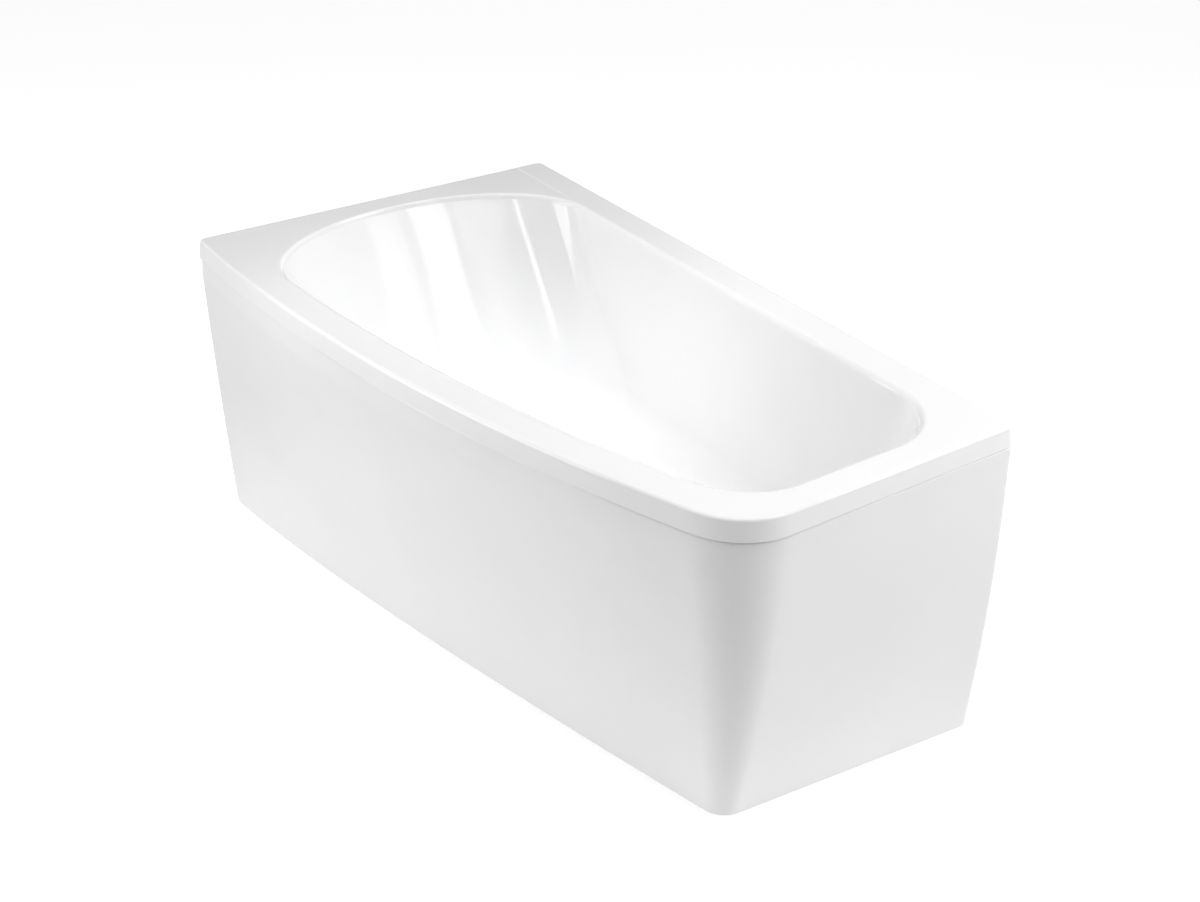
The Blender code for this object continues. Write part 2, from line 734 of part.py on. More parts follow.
def square_tube(name, length, size, wall, finish):
    """Square tube along X, centred, open at both ends."""
    bm = bmesh.new()
    rings = []
    for x, half in ((-length / 2, size / 2), (length / 2, size / 2), (length / 2, size / 2 - wall),
                    (-length / 2, size / 2 - wall)):
        corners = ((-half, -half), (half, -half), (half, half), (-half, half))
        rings.append([bm.verts.new((x, y, z)) for y, z in corners])
    for ring, following in zip(rings, rings[1:] + rings[:1]):
        for step in range(4):
            after = (step + 1) % 4
            bm.faces.new((ring[step], ring[after], following[after], following[step]))
    return add_object(name, bm, finish, smooth=False)


def make_rails():
    """Two tubes under the base board; the front one follows the narrowing floor."""
    head, foot = HEAD_CHANNEL_X - RAIL_REACH, FOOT_CHANNEL_X + RAIL_REACH
    middle_z = RAIL_Z + RAIL / 2
    rear = square_tube("rear_rail", foot - head, RAIL, RAIL_WALL, zinc_steel())
    place(rear, ((head + foot) / 2, REAR_RAIL_Y, middle_z))
    rise = FRONT_RAIL_FOOT_Y - FRONT_RAIL_HEAD_Y
    front = square_tube("front_rail", hypot(foot - head, rise), RAIL, RAIL_WALL, zinc_steel())
    middle_y = (FRONT_RAIL_FOOT_Y + FRONT_RAIL_HEAD_Y) / 2
    place(front, ((head + foot) / 2, middle_y, middle_z), (0, 0, atan2(rise, foot - head)))


def make_channel(name, x, front, feet):
    """Inverted U channel across the bath, drilled for its two studs."""
    rear = WIDTH / 2 - CHANNEL_REAR_MARGIN
    half, wall, low, top = CHANNEL_WIDTH / 2, CHANNEL_WALL, CHANNEL_Z, CHANNEL_Z + RAIL
    profile = [(-half, 0, low), (-half, 0, top), (half, 0, top), (half, 0, low)]
    profile += [(half - wall, 0, low), (half - wall, 0, top - wall)]
    profile += [(wall - half, 0, top - wall), (wall - half, 0, low)]
    item = prism(name, profile, ((x, front, 0), (x, rear, 0)), zinc_steel())
    for index, y in enumerate(feet, start=1):
        place_at = Matrix.Translation((x, y, 0))
        hole = STUD_RADIUS + STUD_CLEARANCE
        cut(item, cutter(f"{name}_drill_{index}", hole, top - 2 * wall, top + wall, place_at))
    return item


def make_foot(index, x, y):
    """One levelling foot: pad and stud move together, two nuts stay on the channel."""
    axis = add_empty(f"foot_axis_{index}", Matrix.Translation((x, y, 0)))
    hole = STUD_RADIUS + STUD_CLEARANCE
    seat = 0.004
    pad = [(0, 0), (FOOT_PAD_RADIUS, 0), (FOOT_PAD_RADIUS, 0.004), (hole + 0.005, FOOT_PAD_HEIGHT)]
    pad += [(hole, FOOT_PAD_HEIGHT), (hole, seat), (0, seat)]
    turned(f"foot_pad_{index}", pad, black_plastic(), axis)
    top = CHANNEL_Z + RAIL
    rod(f"foot_stud_{index}", STUD_RADIUS, seat + GAP, top + STUD_ABOVE, zinc_steel(), axis, sides=16)
    below = top - CHANNEL_WALL - GAP - NUT_HEIGHT
    hex_nut(f"lock_nut_{index}", hole, NUT_RADIUS, below, NUT_HEIGHT, zinc_steel(), axis)
    hex_nut(f"top_nut_{index}", hole, NUT_RADIUS, top + GAP, NUT_HEIGHT, zinc_steel(), axis)


def make_posts():
    """Posts from the channels' rear ends up to the rear batten."""
    y = WIDTH / 2 - BATTEN_INSET - BATTEN_WIDTH / 2
    low, high = CHANNEL_Z + RAIL + GAP, BATTEN_Z - GAP
    for label, x in (("head", HEAD_CHANNEL_X), ("foot", FOOT_CHANNEL_X)):
        item = square_tube(f"{label}_post", high - low, POST, RAIL_WALL, zinc_steel())
        place(item, (x, y, (low + high) / 2), (0, pi / 2, 0))


def make_wall_brackets():
    """Angle brackets under the rear batten whose outer face meets the wall."""
    reach = LENGTH / 2 - BRACKET_FROM_END
    make_wall_bracket("head", -reach)
    make_wall_bracket("foot", reach)


def make_wall_bracket(label, x):
    wall, leg, half = STRIP_STEEL, BRACKET_LEG, BRACKET_WIDTH / 2
    y, top = WIDTH / 2, BATTEN_Z - GAP
    profile = [(0, y, top), (0, y, top - leg), (0, y - wall, top - leg), (0, y - wall, top - wall)]
    profile += [(0, y - leg, top - wall), (0, y - leg, top)]
    bracket = prism(f"{label}_wall_bracket", profile, ((x - half, 0, 0), (x + half, 0, 0)), zinc_steel())
    screw_y = y - BATTEN_INSET - BATTEN_WIDTH / 2
    where = Matrix.Translation((x, screw_y, 0))
    cut(bracket, cutter(f"{label}_bracket_drill", 0.0028, top - wall - 0.01, top + 0.01, where))
    batten = bpy.data.objects["rear_batten"]
    cut(batten, cutter(f"{label}_batten_drill", SCREW_HOLE, top - 0.01, top + 0.022, where))
    face = top - wall - GAP
    profile = [(0, face - 0.003), (0.003, face - 0.003), (0.005, face - 0.002), (0.005, face)]
    profile += [(0.002, face), (0.002, top + 0.018), (0, top + 0.02)]
    place(turned(f"{label}_bracket_screw", profile, zinc_steel(), sides=12), (x, screw_y, 0))


# ------------------------------------------------------- waste and overflow

def make_waste():
    """Drain flange, gasket and body, clamped through the basin floor."""
    place_at = add_empty("waste_axis", waste_matrix())
    top = FLOOR_Z + GAP + FLANGE_HEIGHT
    seat = FLOOR_Z + GAP
    inner = THROAT_RADIUS - THROAT_WALL
    low = BOARD_Z - 0.004
    profile = [(inner, low), (THROAT_RADIUS, low), (THROAT_RADIUS, seat), (FLANGE_RADIUS, seat)]
    profile += [(FLANGE_RADIUS, seat + 0.001), (FLANGE_RADIUS - 0.004, top)]
    profile += [(inner + 0.003, top), (inner, seat)]
    turned("drain_flange", profile, chrome(), place_at, loop=True)
    under = BACKING_Z - GAP
    hole = THROAT_RADIUS + GAP
    washer("drain_gasket", hole, FLANGE_RADIUS, under - GASKET_HEIGHT, under, rubber(), place_at)
    make_drain_body(place_at, under - GASKET_HEIGHT - GAP)
    make_plug(place_at, top)
    make_trap(place_at)


def make_drain_body(place_at, top):
    """Round body with an upper flange, a side inlet for the overflow and a lower spigot."""
    low = top - BODY_HEIGHT
    inner = BODY_RADIUS - BODY_WALL
    spigot = PIPE_RADIUS
    profile = [(THROAT_RADIUS + GAP, top), (FLANGE_RADIUS, top), (FLANGE_RADIUS, top - 0.003)]
    profile += [(BODY_RADIUS, top - 0.003), (BODY_RADIUS, low + 0.012), (spigot, low + 0.006)]
    profile += [(spigot, low - 0.020), (spigot - PIPE_WALL, low - 0.020), (spigot - PIPE_WALL, low + 0.008)]
    profile += [(inner, low + 0.014), (inner, top - 0.006), (THROAT_RADIUS + GAP, top - 0.006)]
    body = turned("drain_body", profile, white_plastic(), place_at, loop=True)
    inlet_z = (top + low) / 2
    side = Matrix.Translation((0, 0, inlet_z)) @ Matrix.Rotation(pi / 2, 4, "Y")
    reach = (inner + 0.001, BODY_RADIUS + INLET_REACH)
    add_spigot(body, "inlet", HOSE_RADIUS, HOSE_RADIUS - 0.003, reach, waste_matrix() @ side)


def drain_low():
    """Lower end of the drain body's spigot."""
    return BACKING_Z - 2 * GAP - GASKET_HEIGHT - BODY_HEIGHT - 0.020


def inlet_end():
    """Outer end of the drain body's side inlet, which faces the foot end."""
    where = waste_place()
    top = BACKING_Z - 2 * GAP - GASKET_HEIGHT
    return Vector((where.x + BODY_RADIUS + INLET_REACH, where.y, top - BODY_HEIGHT / 2))


def make_plug(place_at, flange_top):
    """Pop-up plug: domed cap, stem and seal, which rise together."""
    under = flange_top + PLUG_LIP
    cap = [(0, under), (PLUG_RADIUS - 0.002, under)]
    cap += [(PLUG_RADIUS, under + 0.001), (PLUG_RADIUS, under + 0.003)]
    cap += [(PLUG_RADIUS * 0.8, under + 0.0055), (PLUG_RADIUS * 0.4, under + 0.007), (0, under + 0.0075)]
    turned("plug_cap", cap, chrome(), place_at)
    washer("plug_seal", 0.0215, 0.0255, flange_top + GAP, under - GAP, rubber(), place_at)
    rod("plug_stem", 0.004, BOARD_Z - 0.018, under - GAP, zinc_steel(), place_at, sides=12)


def make_trap(place_at):
    """Low bath trap under the drain body, with a screw-off cup and a wall outlet."""
    joint = drain_low()
    top = joint - GAP
    low = top - TRAP_HEIGHT
    inner = TRAP_RADIUS - PIPE_WALL
    throat = PIPE_RADIUS - PIPE_WALL
    collar = PIPE_RADIUS + 0.0005
    profile = [(throat, top), (PIPE_RADIUS, top)]
    profile += [(PIPE_RADIUS, top - 0.014), (TRAP_RADIUS, top - TRAP_SHOULDER)]
    profile += [(TRAP_RADIUS, low), (inner, low), (inner, top - TRAP_SHOULDER - PIPE_WALL)]
    profile += [(throat, top - TRAP_SHOULDER - PIPE_WALL)]
    body = turned("trap_body", profile, white_plastic(), place_at, loop=True)
    outlet_z = (low + top - TRAP_SHOULDER) / 2
    side = Matrix.Translation((0, 0, outlet_z)) @ Matrix.Rotation(-pi / 2, 4, "X")
    reach = (inner + 0.001, TRAP_RADIUS + OUTLET_REACH)
    add_spigot(body, "outlet", PIPE_RADIUS, throat, reach, waste_matrix() @ side)
    outer = PIPE_RADIUS + UNION_WALL
    washer("trap_union_nut", collar, outer, joint - 0.011, joint + 0.014, black_plastic(), place_at, 16)
    cup = [(0, low - 0.014), (TRAP_RADIUS - 0.006, low - 0.014), (TRAP_RADIUS, low - 0.009)]
    cup += [(TRAP_RADIUS, low - GAP), (TRAP_RADIUS - 0.004, low - GAP), (TRAP_RADIUS - 0.004, low - 0.006)]
    cup += [(0, low - 0.010)]
    turned("trap_cup", cup, black_plastic(), place_at)
    make_outlet(side, collar)


def make_outlet(side, collar):
    """Waste pipe from the trap to the rear wall, with its union nut."""
    place_at = add_empty("outlet_axis", waste_matrix() @ side)
    start = TRAP_RADIUS + OUTLET_REACH
    end = WIDTH / 2 - waste_place().y
    washer("outlet_pipe", PIPE_RADIUS - PIPE_WALL, PIPE_RADIUS, start + GAP, end, white_plastic(), place_at)
    outer = PIPE_RADIUS + UNION_WALL
    washer("outlet_nut", collar, outer, start - 0.014, start + 0.014, black_plastic(), place_at, 16)


def make_knob(base, place_at):
    """Rotary knob with shallow finger lobes round its edge."""
    top = base + KNOB_HEIGHT
    sections = ((KNOB_RADIUS - 0.002, base), (KNOB_RADIUS, base + 0.002), (KNOB_RADIUS, top - 0.003),
                (KNOB_RADIUS - 0.004, top))
    rings = []
    for radius, height in sections:
        ring = []
        for step in range(KNOB_LOBES * 6):
            turn = 2 * pi * step / (KNOB_LOBES * 6)
            reach = radius - KNOB_LOBE_DEPTH * (1 + cos(KNOB_LOBES * turn)) / 2
            ring.append(Vector((reach * cos(turn), reach * sin(turn), height)))
        rings.append(ring)
    bm = sheet(rings, True, True)
    bm.verts.ensure_lookup_table()
    bm.faces.new(bm.verts[index] for index in range(KNOB_LOBES * 6))
    add_object("overflow_knob", bm, chrome(), parent=place_at)


def make_overflow():
    """Overflow with a rotary knob; the knob pulls the cable that lifts the plug."""
    place_at = add_empty("overflow_axis", overflow_matrix())
    hole = OVERFLOW_HOLE
    stem = 0.005
    plate = [(stem + GAP, GAP), (0.031, GAP), (0.031, 0.002), (0.028, 0.004), (stem + GAP, 0.004)]
    turned("overflow_plate", plate, chrome(), place_at, loop=True)
    base = 0.0055
    make_knob(base, place_at)
    behind = -(SHELL_WALL + GAP + BACKING_WALL + GAP)
    rod("knob_spindle", stem, behind - 0.014, base - GAP, zinc_steel(), place_at, sides=16)
    washer("overflow_gasket", hole, 0.031, behind - 0.003, behind, rubber(), place_at)
    front = behind - 0.003 - GAP
    back = front - 0.030
    body = [(0, back), (0.026, back), (0.026, front - 0.004), (0.031, front - 0.004), (0.031, front)]
    body += [(0.0225, front), (0.0225, back + 0.003), (0, back + 0.003)]
    cup = turned("overflow_body", body, white_plastic(), place_at)
    middle = Matrix.Translation((0, 0, (front + back) / 2))
    down = overflow_matrix() @ middle @ Matrix.Rotation(-pi / 2, 4, "Y")
    add_spigot(cup, "overflow_spigot", HOSE_RADIUS - 0.003, 0.008, (0.0235, OVERFLOW_SPIGOT), down)
    make_hose(front, back)


def overflow_point(x, y, z):
    return overflow_matrix() @ Vector((x, y, z))


def smooth_route(points, steps):
    """A smooth curve through the route's points, as evenly stepped points."""
    routed = []
    padded = [points[0] * 2 - points[1], *points, points[-1] * 2 - points[-2]]
    for before, start, end, after in zip(padded, padded[1:], padded[2:], padded[3:]):
        for step in range(steps):
            t = step / steps
            linear = (end - before) * t
            square = (2 * before - 5 * start + 4 * end - after) * t * t
            cube = (3 * start - before - 3 * end + after) * t ** 3
            routed.append(start + 0.5 * (linear + square + cube))
    routed.append(points[-1])
    return routed


def tube(name, points, radius, finish, resolution=3):
    curve = bpy.data.curves.new(name, "CURVE")
    curve.dimensions = "3D"
    curve.bevel_depth = radius
    curve.bevel_resolution = resolution
    curve.use_fill_caps = True
    spline = curve.splines.new("POLY")
    spline.points.add(len(points) - 1)
    for slot, point in zip(spline.points, points):
        slot.co = (*point, 1)
    item = bpy.data.objects.new(name, curve)
    bpy.context.collection.objects.link(item)
    item.data.materials.append(finish)
    return item


def round_fillet(distance, turns, y):
    """Points that pass round the outside of the fillet between foot wall and floor."""
    radius = FLOOR_FILLET_HEIGHT / (1 - sin(FOOT_LEAN))
    middle = Vector((waste_place().x + WASTE_FROM_FLOOR_END, y, FLOOR_Z + radius))
    reach = radius + distance
    return [middle + reach * Vector((cos(radians(a)), 0, sin(radians(a)))) for a in turns]


def make_hose(front, back):
    """Overflow hose from the body's underside round to the drain body's inlet, and the plug cable."""
    start = overflow_point(-OVERFLOW_SPIGOT - 3 * GAP, 0, (front + back) / 2)
    lead_out = overflow_point(-OVERFLOW_SPIGOT - 0.025, 0, (front + back) / 2)
    end = inlet_end() + Vector((3 * GAP, 0, 0))
    lead_in = end + Vector((0.022, 0, 0))
    route = [start, lead_out, *round_fillet(0.050, (5, -25, -55), waste_place().y), lead_in, end]
    tube("overflow_hose", smooth_route(route, 5), HOSE_RADIUS - 0.003, grey_hose())
    nut_place = Matrix.Translation(inlet_end() - Vector((0.010, 0, 0))) @ Matrix.Rotation(pi / 2, 4, "Y")
    bore, outer = HOSE_RADIUS + 0.0005, HOSE_RADIUS + 0.006
    nut = washer("hose_nut", bore, outer, -0.008, 0.008, black_plastic(), sides=16)
    nut.matrix_world = nut_place
    start = overflow_point(-0.010, 0.014, back - 3 * GAP)
    lead_out = overflow_point(-0.020, 0.016, back - 0.014)
    where = waste_place()
    end = Vector((where.x, where.y + BODY_RADIUS + 3 * GAP, end.z + 0.012))
    lead_in = end + Vector((0.002, 0.022, 0))
    route = [start, lead_out, *round_fillet(0.046, (10, -30, -65), where.y + 0.045), lead_in, end]
    tube("plug_cable", smooth_route(route, 5), 0.0025, black_plastic(), resolution=2)


# -------------------------------------------------------------------- build

def make_leg_frame():
    make_rails()
    make_channel("head_channel", HEAD_CHANNEL_X, HEAD_CHANNEL_FRONT_Y, FEET_HEAD_Y)
    make_channel("foot_channel", FOOT_CHANNEL_X, FOOT_CHANNEL_FRONT_Y, FEET_FOOT_Y)
    feet = [(HEAD_CHANNEL_X, y) for y in FEET_HEAD_Y] + [(FOOT_CHANNEL_X, y) for y in FEET_FOOT_Y]
    for index, (x, y) in enumerate(feet, start=1):
        make_foot(index, x, y)
    make_posts()


def main():
    clear_scene()
    shell, backing, board = make_shell(), make_backing(), make_base_board()
    drill_basin(shell, backing, board)
    make_battens()
    apron = make_apron()
    make_rim_clips()
    make_leg_frame()
    make_apron_struts(apron)
    make_wall_brackets()
    make_waste()
    make_overflow()


if __name__ == "__main__":
    main()
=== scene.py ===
"""Looks of a panelled acrylic bath on a levelling leg frame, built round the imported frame.

Metres, +Z up. -X is the wide head end, +X the narrow foot end, -Y the bowed
front and +Y the long wall side. The origin is on the floor under the middle.
"""
import logging
from dataclasses import dataclass
from enum import Enum
from math import atan, cos, pi, radians, sin, sqrt, tan
from typing import Callable, Sequence, Union

import bmesh
import bpy
from mathutils import Matrix, Vector, noise


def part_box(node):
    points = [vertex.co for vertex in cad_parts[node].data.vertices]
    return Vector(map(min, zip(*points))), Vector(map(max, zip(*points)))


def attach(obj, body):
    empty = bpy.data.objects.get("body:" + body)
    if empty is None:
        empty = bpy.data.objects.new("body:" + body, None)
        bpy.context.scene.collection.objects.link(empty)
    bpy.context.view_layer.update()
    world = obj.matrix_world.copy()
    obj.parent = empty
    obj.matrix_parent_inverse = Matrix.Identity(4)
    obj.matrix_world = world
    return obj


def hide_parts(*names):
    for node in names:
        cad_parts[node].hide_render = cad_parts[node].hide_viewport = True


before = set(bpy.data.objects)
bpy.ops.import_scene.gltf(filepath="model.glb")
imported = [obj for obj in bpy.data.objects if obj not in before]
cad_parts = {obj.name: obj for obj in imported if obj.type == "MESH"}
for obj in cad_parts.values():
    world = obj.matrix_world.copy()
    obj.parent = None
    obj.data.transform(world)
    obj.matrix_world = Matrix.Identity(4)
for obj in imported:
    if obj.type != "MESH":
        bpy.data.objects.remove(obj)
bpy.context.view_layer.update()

log = logging.getLogger("bath")

GAP = 0.0004          # air between pieces that touch
BATH = "bath"         # body of everything that stands still

Ring = list[Vector]
Profile = list[tuple[float, float]]


# ------------------------------------------------------------------ shading

@dataclass(frozen=True)
class Wire:
    """An output socket of a node tree that takes part in arithmetic.

    Args:
        bench: The node tree that the socket belongs to.
        socket: The socket itself.
    """

    bench: "Bench"
    socket: bpy.types.NodeSocket

    def _math(self, operation: str, first: "Value", second: "Value") -> "Wire":
        """Add one Math node for an expression on values."""
        return self.bench.node("ShaderNodeMath", {"operation": operation}, {0: first, 1: second})

    def __add__(self, other: "Value") -> "Wire":
        """Sum of two values."""
        return self._math("ADD", self, other)

    def __radd__(self, other: "Value") -> "Wire":
        """Sum of two values, number first."""
        return self._math("ADD", other, self)

    def __sub__(self, other: "Value") -> "Wire":
        """Difference of two values."""
        return self._math("SUBTRACT", self, other)

    def __rsub__(self, other: "Value") -> "Wire":
        """Difference of two values, number first."""
        return self._math("SUBTRACT", other, self)

    def __mul__(self, other: "Value") -> "Wire":
        """Product of two values."""
        return self._math("MULTIPLY", self, other)

    def __rmul__(self, other: "Value") -> "Wire":
        """Product of two values, number first."""
        return self._math("MULTIPLY", other, self)


Value = Union[Wire, float]


class Bench:
    """A node tree, and the one way in which nodes are added to it."""

    def __init__(self, tree: bpy.types.NodeTree) -> None:
        """Take hold of a material's or a world's node tree."""
        self.tree = tree

    def node(self, kind: str, settings: dict | None = None, inputs: dict | None = None,
             output: int | str = 0) -> Wire:
        """Add a node.

        Args:
            kind: Blender's name for the node's type.
            settings: Attributes of the node; "stops" fills a colour ramp.
            inputs: A value or a Wire for each named or numbered input.
            output: The output that the caller goes on with.

        Returns:
            The chosen output as a Wire.
        """
        made = self.tree.nodes.new(kind)
        for name, value in (settings or {}).items():
            if name == "stops":
                self._fill_ramp(made.color_ramp, value)
            else:
                setattr(made, name, value)
        for name, value in (inputs or {}).items():
            self.feed(made.inputs[name], value)
        return Wire(self, made.outputs[output])

    def feed(self, socket: bpy.types.NodeSocket, value: "Value | tuple") -> None:
        """Link a Wire to a socket, or set the socket's own value."""
        if isinstance(value, Wire):
            self.tree.links.new(value.socket, socket)
        else:
            socket.default_value = value

    @staticmethod
    def _fill_ramp(ramp: bpy.types.ColorRamp, stops: Sequence[tuple[float, tuple]]) -> None:
        """Give a colour ramp its stops, each a place from 0 to 1 and a colour."""
        while len(ramp.elements) < len(stops):
            ramp.elements.new(0.5)
        for element, (place, colour) in zip(ramp.elements, stops):
            element.position = place
            element.color = (*colour, 1.0)

    def place(self, stretch: tuple[float, float, float] = (1, 1, 1)) -> Wire:
        """Point on the piece in metres, stretched along each axis."""
        where = self.node("ShaderNodeTexCoord", output="Object")
        return self.node("ShaderNodeVectorMath", {"operation": "MULTIPLY"}, {0: where, 1: stretch})

    def noise(self, scale: float, detail: float = 2.0, stretch: tuple[float, float, float] = (1, 1, 1),
              roughness: float = 0.5) -> Wire:
        """Cloudy noise from 0 to 1 with this many features to the metre."""
        sockets = {"Vector": self.place(stretch), "Scale": scale, "Detail": detail, "Roughness": roughness}
        return self.node("ShaderNodeTexNoise", None, sockets, "Fac")

    def blend(self, amount: "Value", first: "Wire | tuple", second: "Wire | tuple") -> Wire:
        """Mix two colours; amount 0 gives the first."""
        sockets = {0: amount, 6: self._colour(first), 7: self._colour(second)}
        return self.node("ShaderNodeMix", {"data_type": "RGBA"}, sockets, 2)

    @staticmethod
    def _colour(value: "Wire | tuple") -> "Wire | tuple":
        """Colour with its fourth channel, unless it is a Wire."""
        return value if isinstance(value, Wire) else (*value, 1.0)

    def remap(self, value: Wire, low: float, high: float, to_low: float = 0.0, to_high: float = 1.0) -> Wire:
        """Map a value from one range to another, clamped and eased at both ends."""
        sockets = {"Value": value, "From Min": low, "From Max": high, "To Min": to_low, "To Max": to_high}
        return self.node("ShaderNodeMapRange", {"interpolation_type": "SMOOTHSTEP"}, sockets)

    def bump(self, height: Wire, distance: float, below: Wire | None = None) -> Wire:
        """Normal of a relief this many metres deep, on top of another one if given."""
        sockets = {"Height": height, "Distance": distance, "Strength": 1.0}
        if below is not None:
            sockets["Normal"] = below
        return self.node("ShaderNodeBump", None, sockets)


@dataclass(frozen=True)
class Finish:
    """What every finish has: a name and the name of the slot that it belongs to."""

    name: str
    slot: str

    def material(self) -> bpy.types.Material:
        """Return the finish's material, made on first use."""
        found = bpy.data.materials.get(self.name)
        if found:
            return found
        made = bpy.data.materials.new(self.name)
        made.use_nodes = True
        bench = Bench(made.node_tree)
        shader = made.node_tree.nodes["Principled BSDF"]
        for socket, value in self.paint(bench).items():
            bench.feed(shader.inputs[socket], value)
        return made

    def paint(self, bench: Bench) -> dict:
        """Values and Wires for the shader's sockets."""
        raise NotImplementedError


@dataclass(frozen=True)
class Acrylic(Finish):
    """Glossy cast acrylic, with the slight waviness of a sheet drawn over a mould.

    Args:
        tint: Body colour of the sheet.
        gloss: Roughness of a clean face.
        wave: Depth of the slow waviness, in metres.
    """

    tint: tuple[float, float, float] = (0.966, 0.966, 0.968)
    gloss: float = 0.07
    wave: float = 0.0006

    def paint(self, bench: Bench) -> dict:
        """Nearly even white, polished, with long waves and a fine orange peel."""
        cloud = bench.noise(3.0, 3.0)
        shade = tuple(channel * 0.975 for channel in self.tint)
        haze = bench.noise(38.0, 4.0)
        waves = bench.bump(bench.noise(5.5, 1.0, (1.0, 1.0, 2.2)), self.wave)
        peel = bench.bump(bench.noise(420.0, 1.0), 0.000006, waves)
        return {
            "Base Color": bench.blend(bench.remap(cloud, 0.3, 0.75), self.tint, shade),
            "Roughness": self.gloss + 0.05 * bench.remap(haze, 0.45, 0.8),
            "Normal": peel,
            "IOR": 1.49,
            "Coat Weight": 0.35,
            "Coat Roughness": 0.03,
        }


@dataclass(frozen=True)
class FibreResin(Finish):
    """Chopped glass strands in polyester resin, laid up by hand on the back of the basin."""

    resin: tuple[float, float, float] = (0.60, 0.56, 0.44)
    strand: tuple[float, float, float] = (0.80, 0.78, 0.70)

    def strands(self, bench: Bench, turn: float, seed: float) -> Wire:
        """One layer of strands that lie along a direction in the plane of the sheet."""
        where = bench.node("ShaderNodeTexCoord", output="Object")
        turned = bench.node("ShaderNodeMapping", None, {
            "Vector": where, "Location": (seed, seed * 0.7, seed * 0.3), "Rotation": (turn, turn * 0.6, turn),
            "Scale": (26.0, 420.0, 420.0)})
        layer = bench.node("ShaderNodeTexNoise", None, {"Vector": turned, "Scale": 1.0, "Detail": 1.5}, "Fac")
        return bench.remap(layer, 0.56, 0.68)

    def paint(self, bench: Bench) -> dict:
        """Amber resin with pale strands in four directions, wet and dry patches."""
        layers = [self.strands(bench, turn, seed)
                  for turn, seed in ((0.2, 1.0), (1.0, 2.3), (1.9, 4.1), (2.7, 6.2))]
        mat = layers[0]
        for layer in layers[1:]:
            mat = bench.node("ShaderNodeMath", {"operation": "MAXIMUM"}, {0: mat, 1: layer})
        patch = bench.noise(9.0, 4.0)
        dark = tuple(channel * 0.82 for channel in self.resin)
        base = bench.blend(bench.remap(patch, 0.35, 0.7), self.resin, dark)
        lumps = bench.bump(bench.noise(55.0, 4.0), 0.0012)
        return {
            "Base Color": bench.blend(mat * 0.75, base, self.strand),
            "Roughness": bench.remap(patch, 0.3, 0.7, 0.32, 0.62) + 0.12 * mat,
            "Normal": bench.bump(mat, 0.0003, lumps),
            "IOR": 1.55,
        }


class Grain(Enum):
    """Direction of a wooden piece's grain."""

    ALONG_X = (2.2, 60.0, 60.0)
    ALONG_Y = (60.0, 2.2, 60.0)


@dataclass(frozen=True)
class Timber(Finish):
    """Planed softwood batten, in early and late wood bands."""

    grain: Grain = Grain.ALONG_X

    def paint(self, bench: Bench) -> dict:
        """Bands along the grain, pores and faint knots."""
        sway = bench.noise(1.0, 2.0, tuple(part * 0.25 for part in self.grain.value))
        bands = bench.node("ShaderNodeTexNoise", None, {
            "Vector": bench.place(self.grain.value), "Scale": 1.0, "Detail": 3.0, "Distortion": 0.8}, "Fac")
        line = bench.remap(bands + 0.25 * sway, 0.48, 0.78)
        pores = bench.noise(6.0, 3.0, self.grain.value)
        pale, dark = (0.66, 0.49, 0.30), (0.45, 0.28, 0.14)
        return {
            "Base Color": bench.blend(line, pale, dark),
            "Roughness": 0.62 + 0.18 * pores,
            "Normal": bench.bump(pores, 0.0002, bench.bump(line, 0.00015)),
        }


@dataclass(frozen=True)
class ChipBoard(Finish):
    """Pressed wood-chip board with chips of several sizes showing."""

    def paint(self, bench: Bench) -> dict:
        """Chips in mixed browns with fine gaps between them."""
        chips = bench.node("ShaderNodeTexVoronoi", None, {
            "Vector": bench.place((1.0, 2.6, 1.6)), "Scale": 190.0, "Randomness": 1.0}, "Color")
        shade = bench.node("ShaderNodeSeparateColor", None, {0: chips})
        edge = bench.node("ShaderNodeTexVoronoi", {"feature": "DISTANCE_TO_EDGE"}, {
            "Vector": bench.place((1.0, 2.6, 1.6)), "Scale": 190.0}, "Distance")
        stops = ((0.0, (0.50, 0.36, 0.20)), (0.45, (0.62, 0.47, 0.28)), (1.0, (0.72, 0.58, 0.38)))
        wood = bench.node("ShaderNodeValToRGB", {"stops": stops}, {0: shade}, "Color")
        rim = bench.remap(edge, 0.0, 0.09)
        return {
            "Base Color": bench.blend(rim, (0.34, 0.23, 0.12), wood),
            "Roughness": 0.7 + 0.15 * bench.noise(90.0),
            "Normal": bench.bump(rim, 0.00025),
        }


@dataclass(frozen=True)
class ZincSteel(Finish):
    """Zinc-plated steel with soft spangle and handling marks.

    Args:
        tint: Colour of the plating.
        dull: Mean roughness.
        spangle: Zinc crystals to the metre.
    """

    tint: tuple[float, float, float] = (0.66, 0.67, 0.69)
    dull: float = 0.34
    spangle: float = 130.0

    def paint(self, bench: Bench) -> dict:
        """Crystals that differ a little in tone and roughness, under fine scratches."""
        cells = bench.node("ShaderNodeTexVoronoi", None, {
            "Vector": bench.place(), "Scale": self.spangle, "Randomness": 1.0}, "Color")
        tone = bench.node("ShaderNodeSeparateColor", None, {0: cells})
        cloud = bench.noise(14.0, 4.0)
        marks = bench.remap(bench.noise(30.0, 2.0, (1.0, 14.0, 14.0)), 0.62, 0.75)
        shade = tuple(channel * 0.78 for channel in self.tint)
        mixed = 0.45 * tone + 0.55 * cloud
        return {
            "Base Color": bench.blend(bench.remap(mixed, 0.25, 0.8), self.tint, shade),
            "Metallic": 1.0,
            "Roughness": self.dull + 0.10 * tone + 0.08 * marks,
            "Normal": bench.bump(cloud + 0.3 * marks, 0.00008),
        }


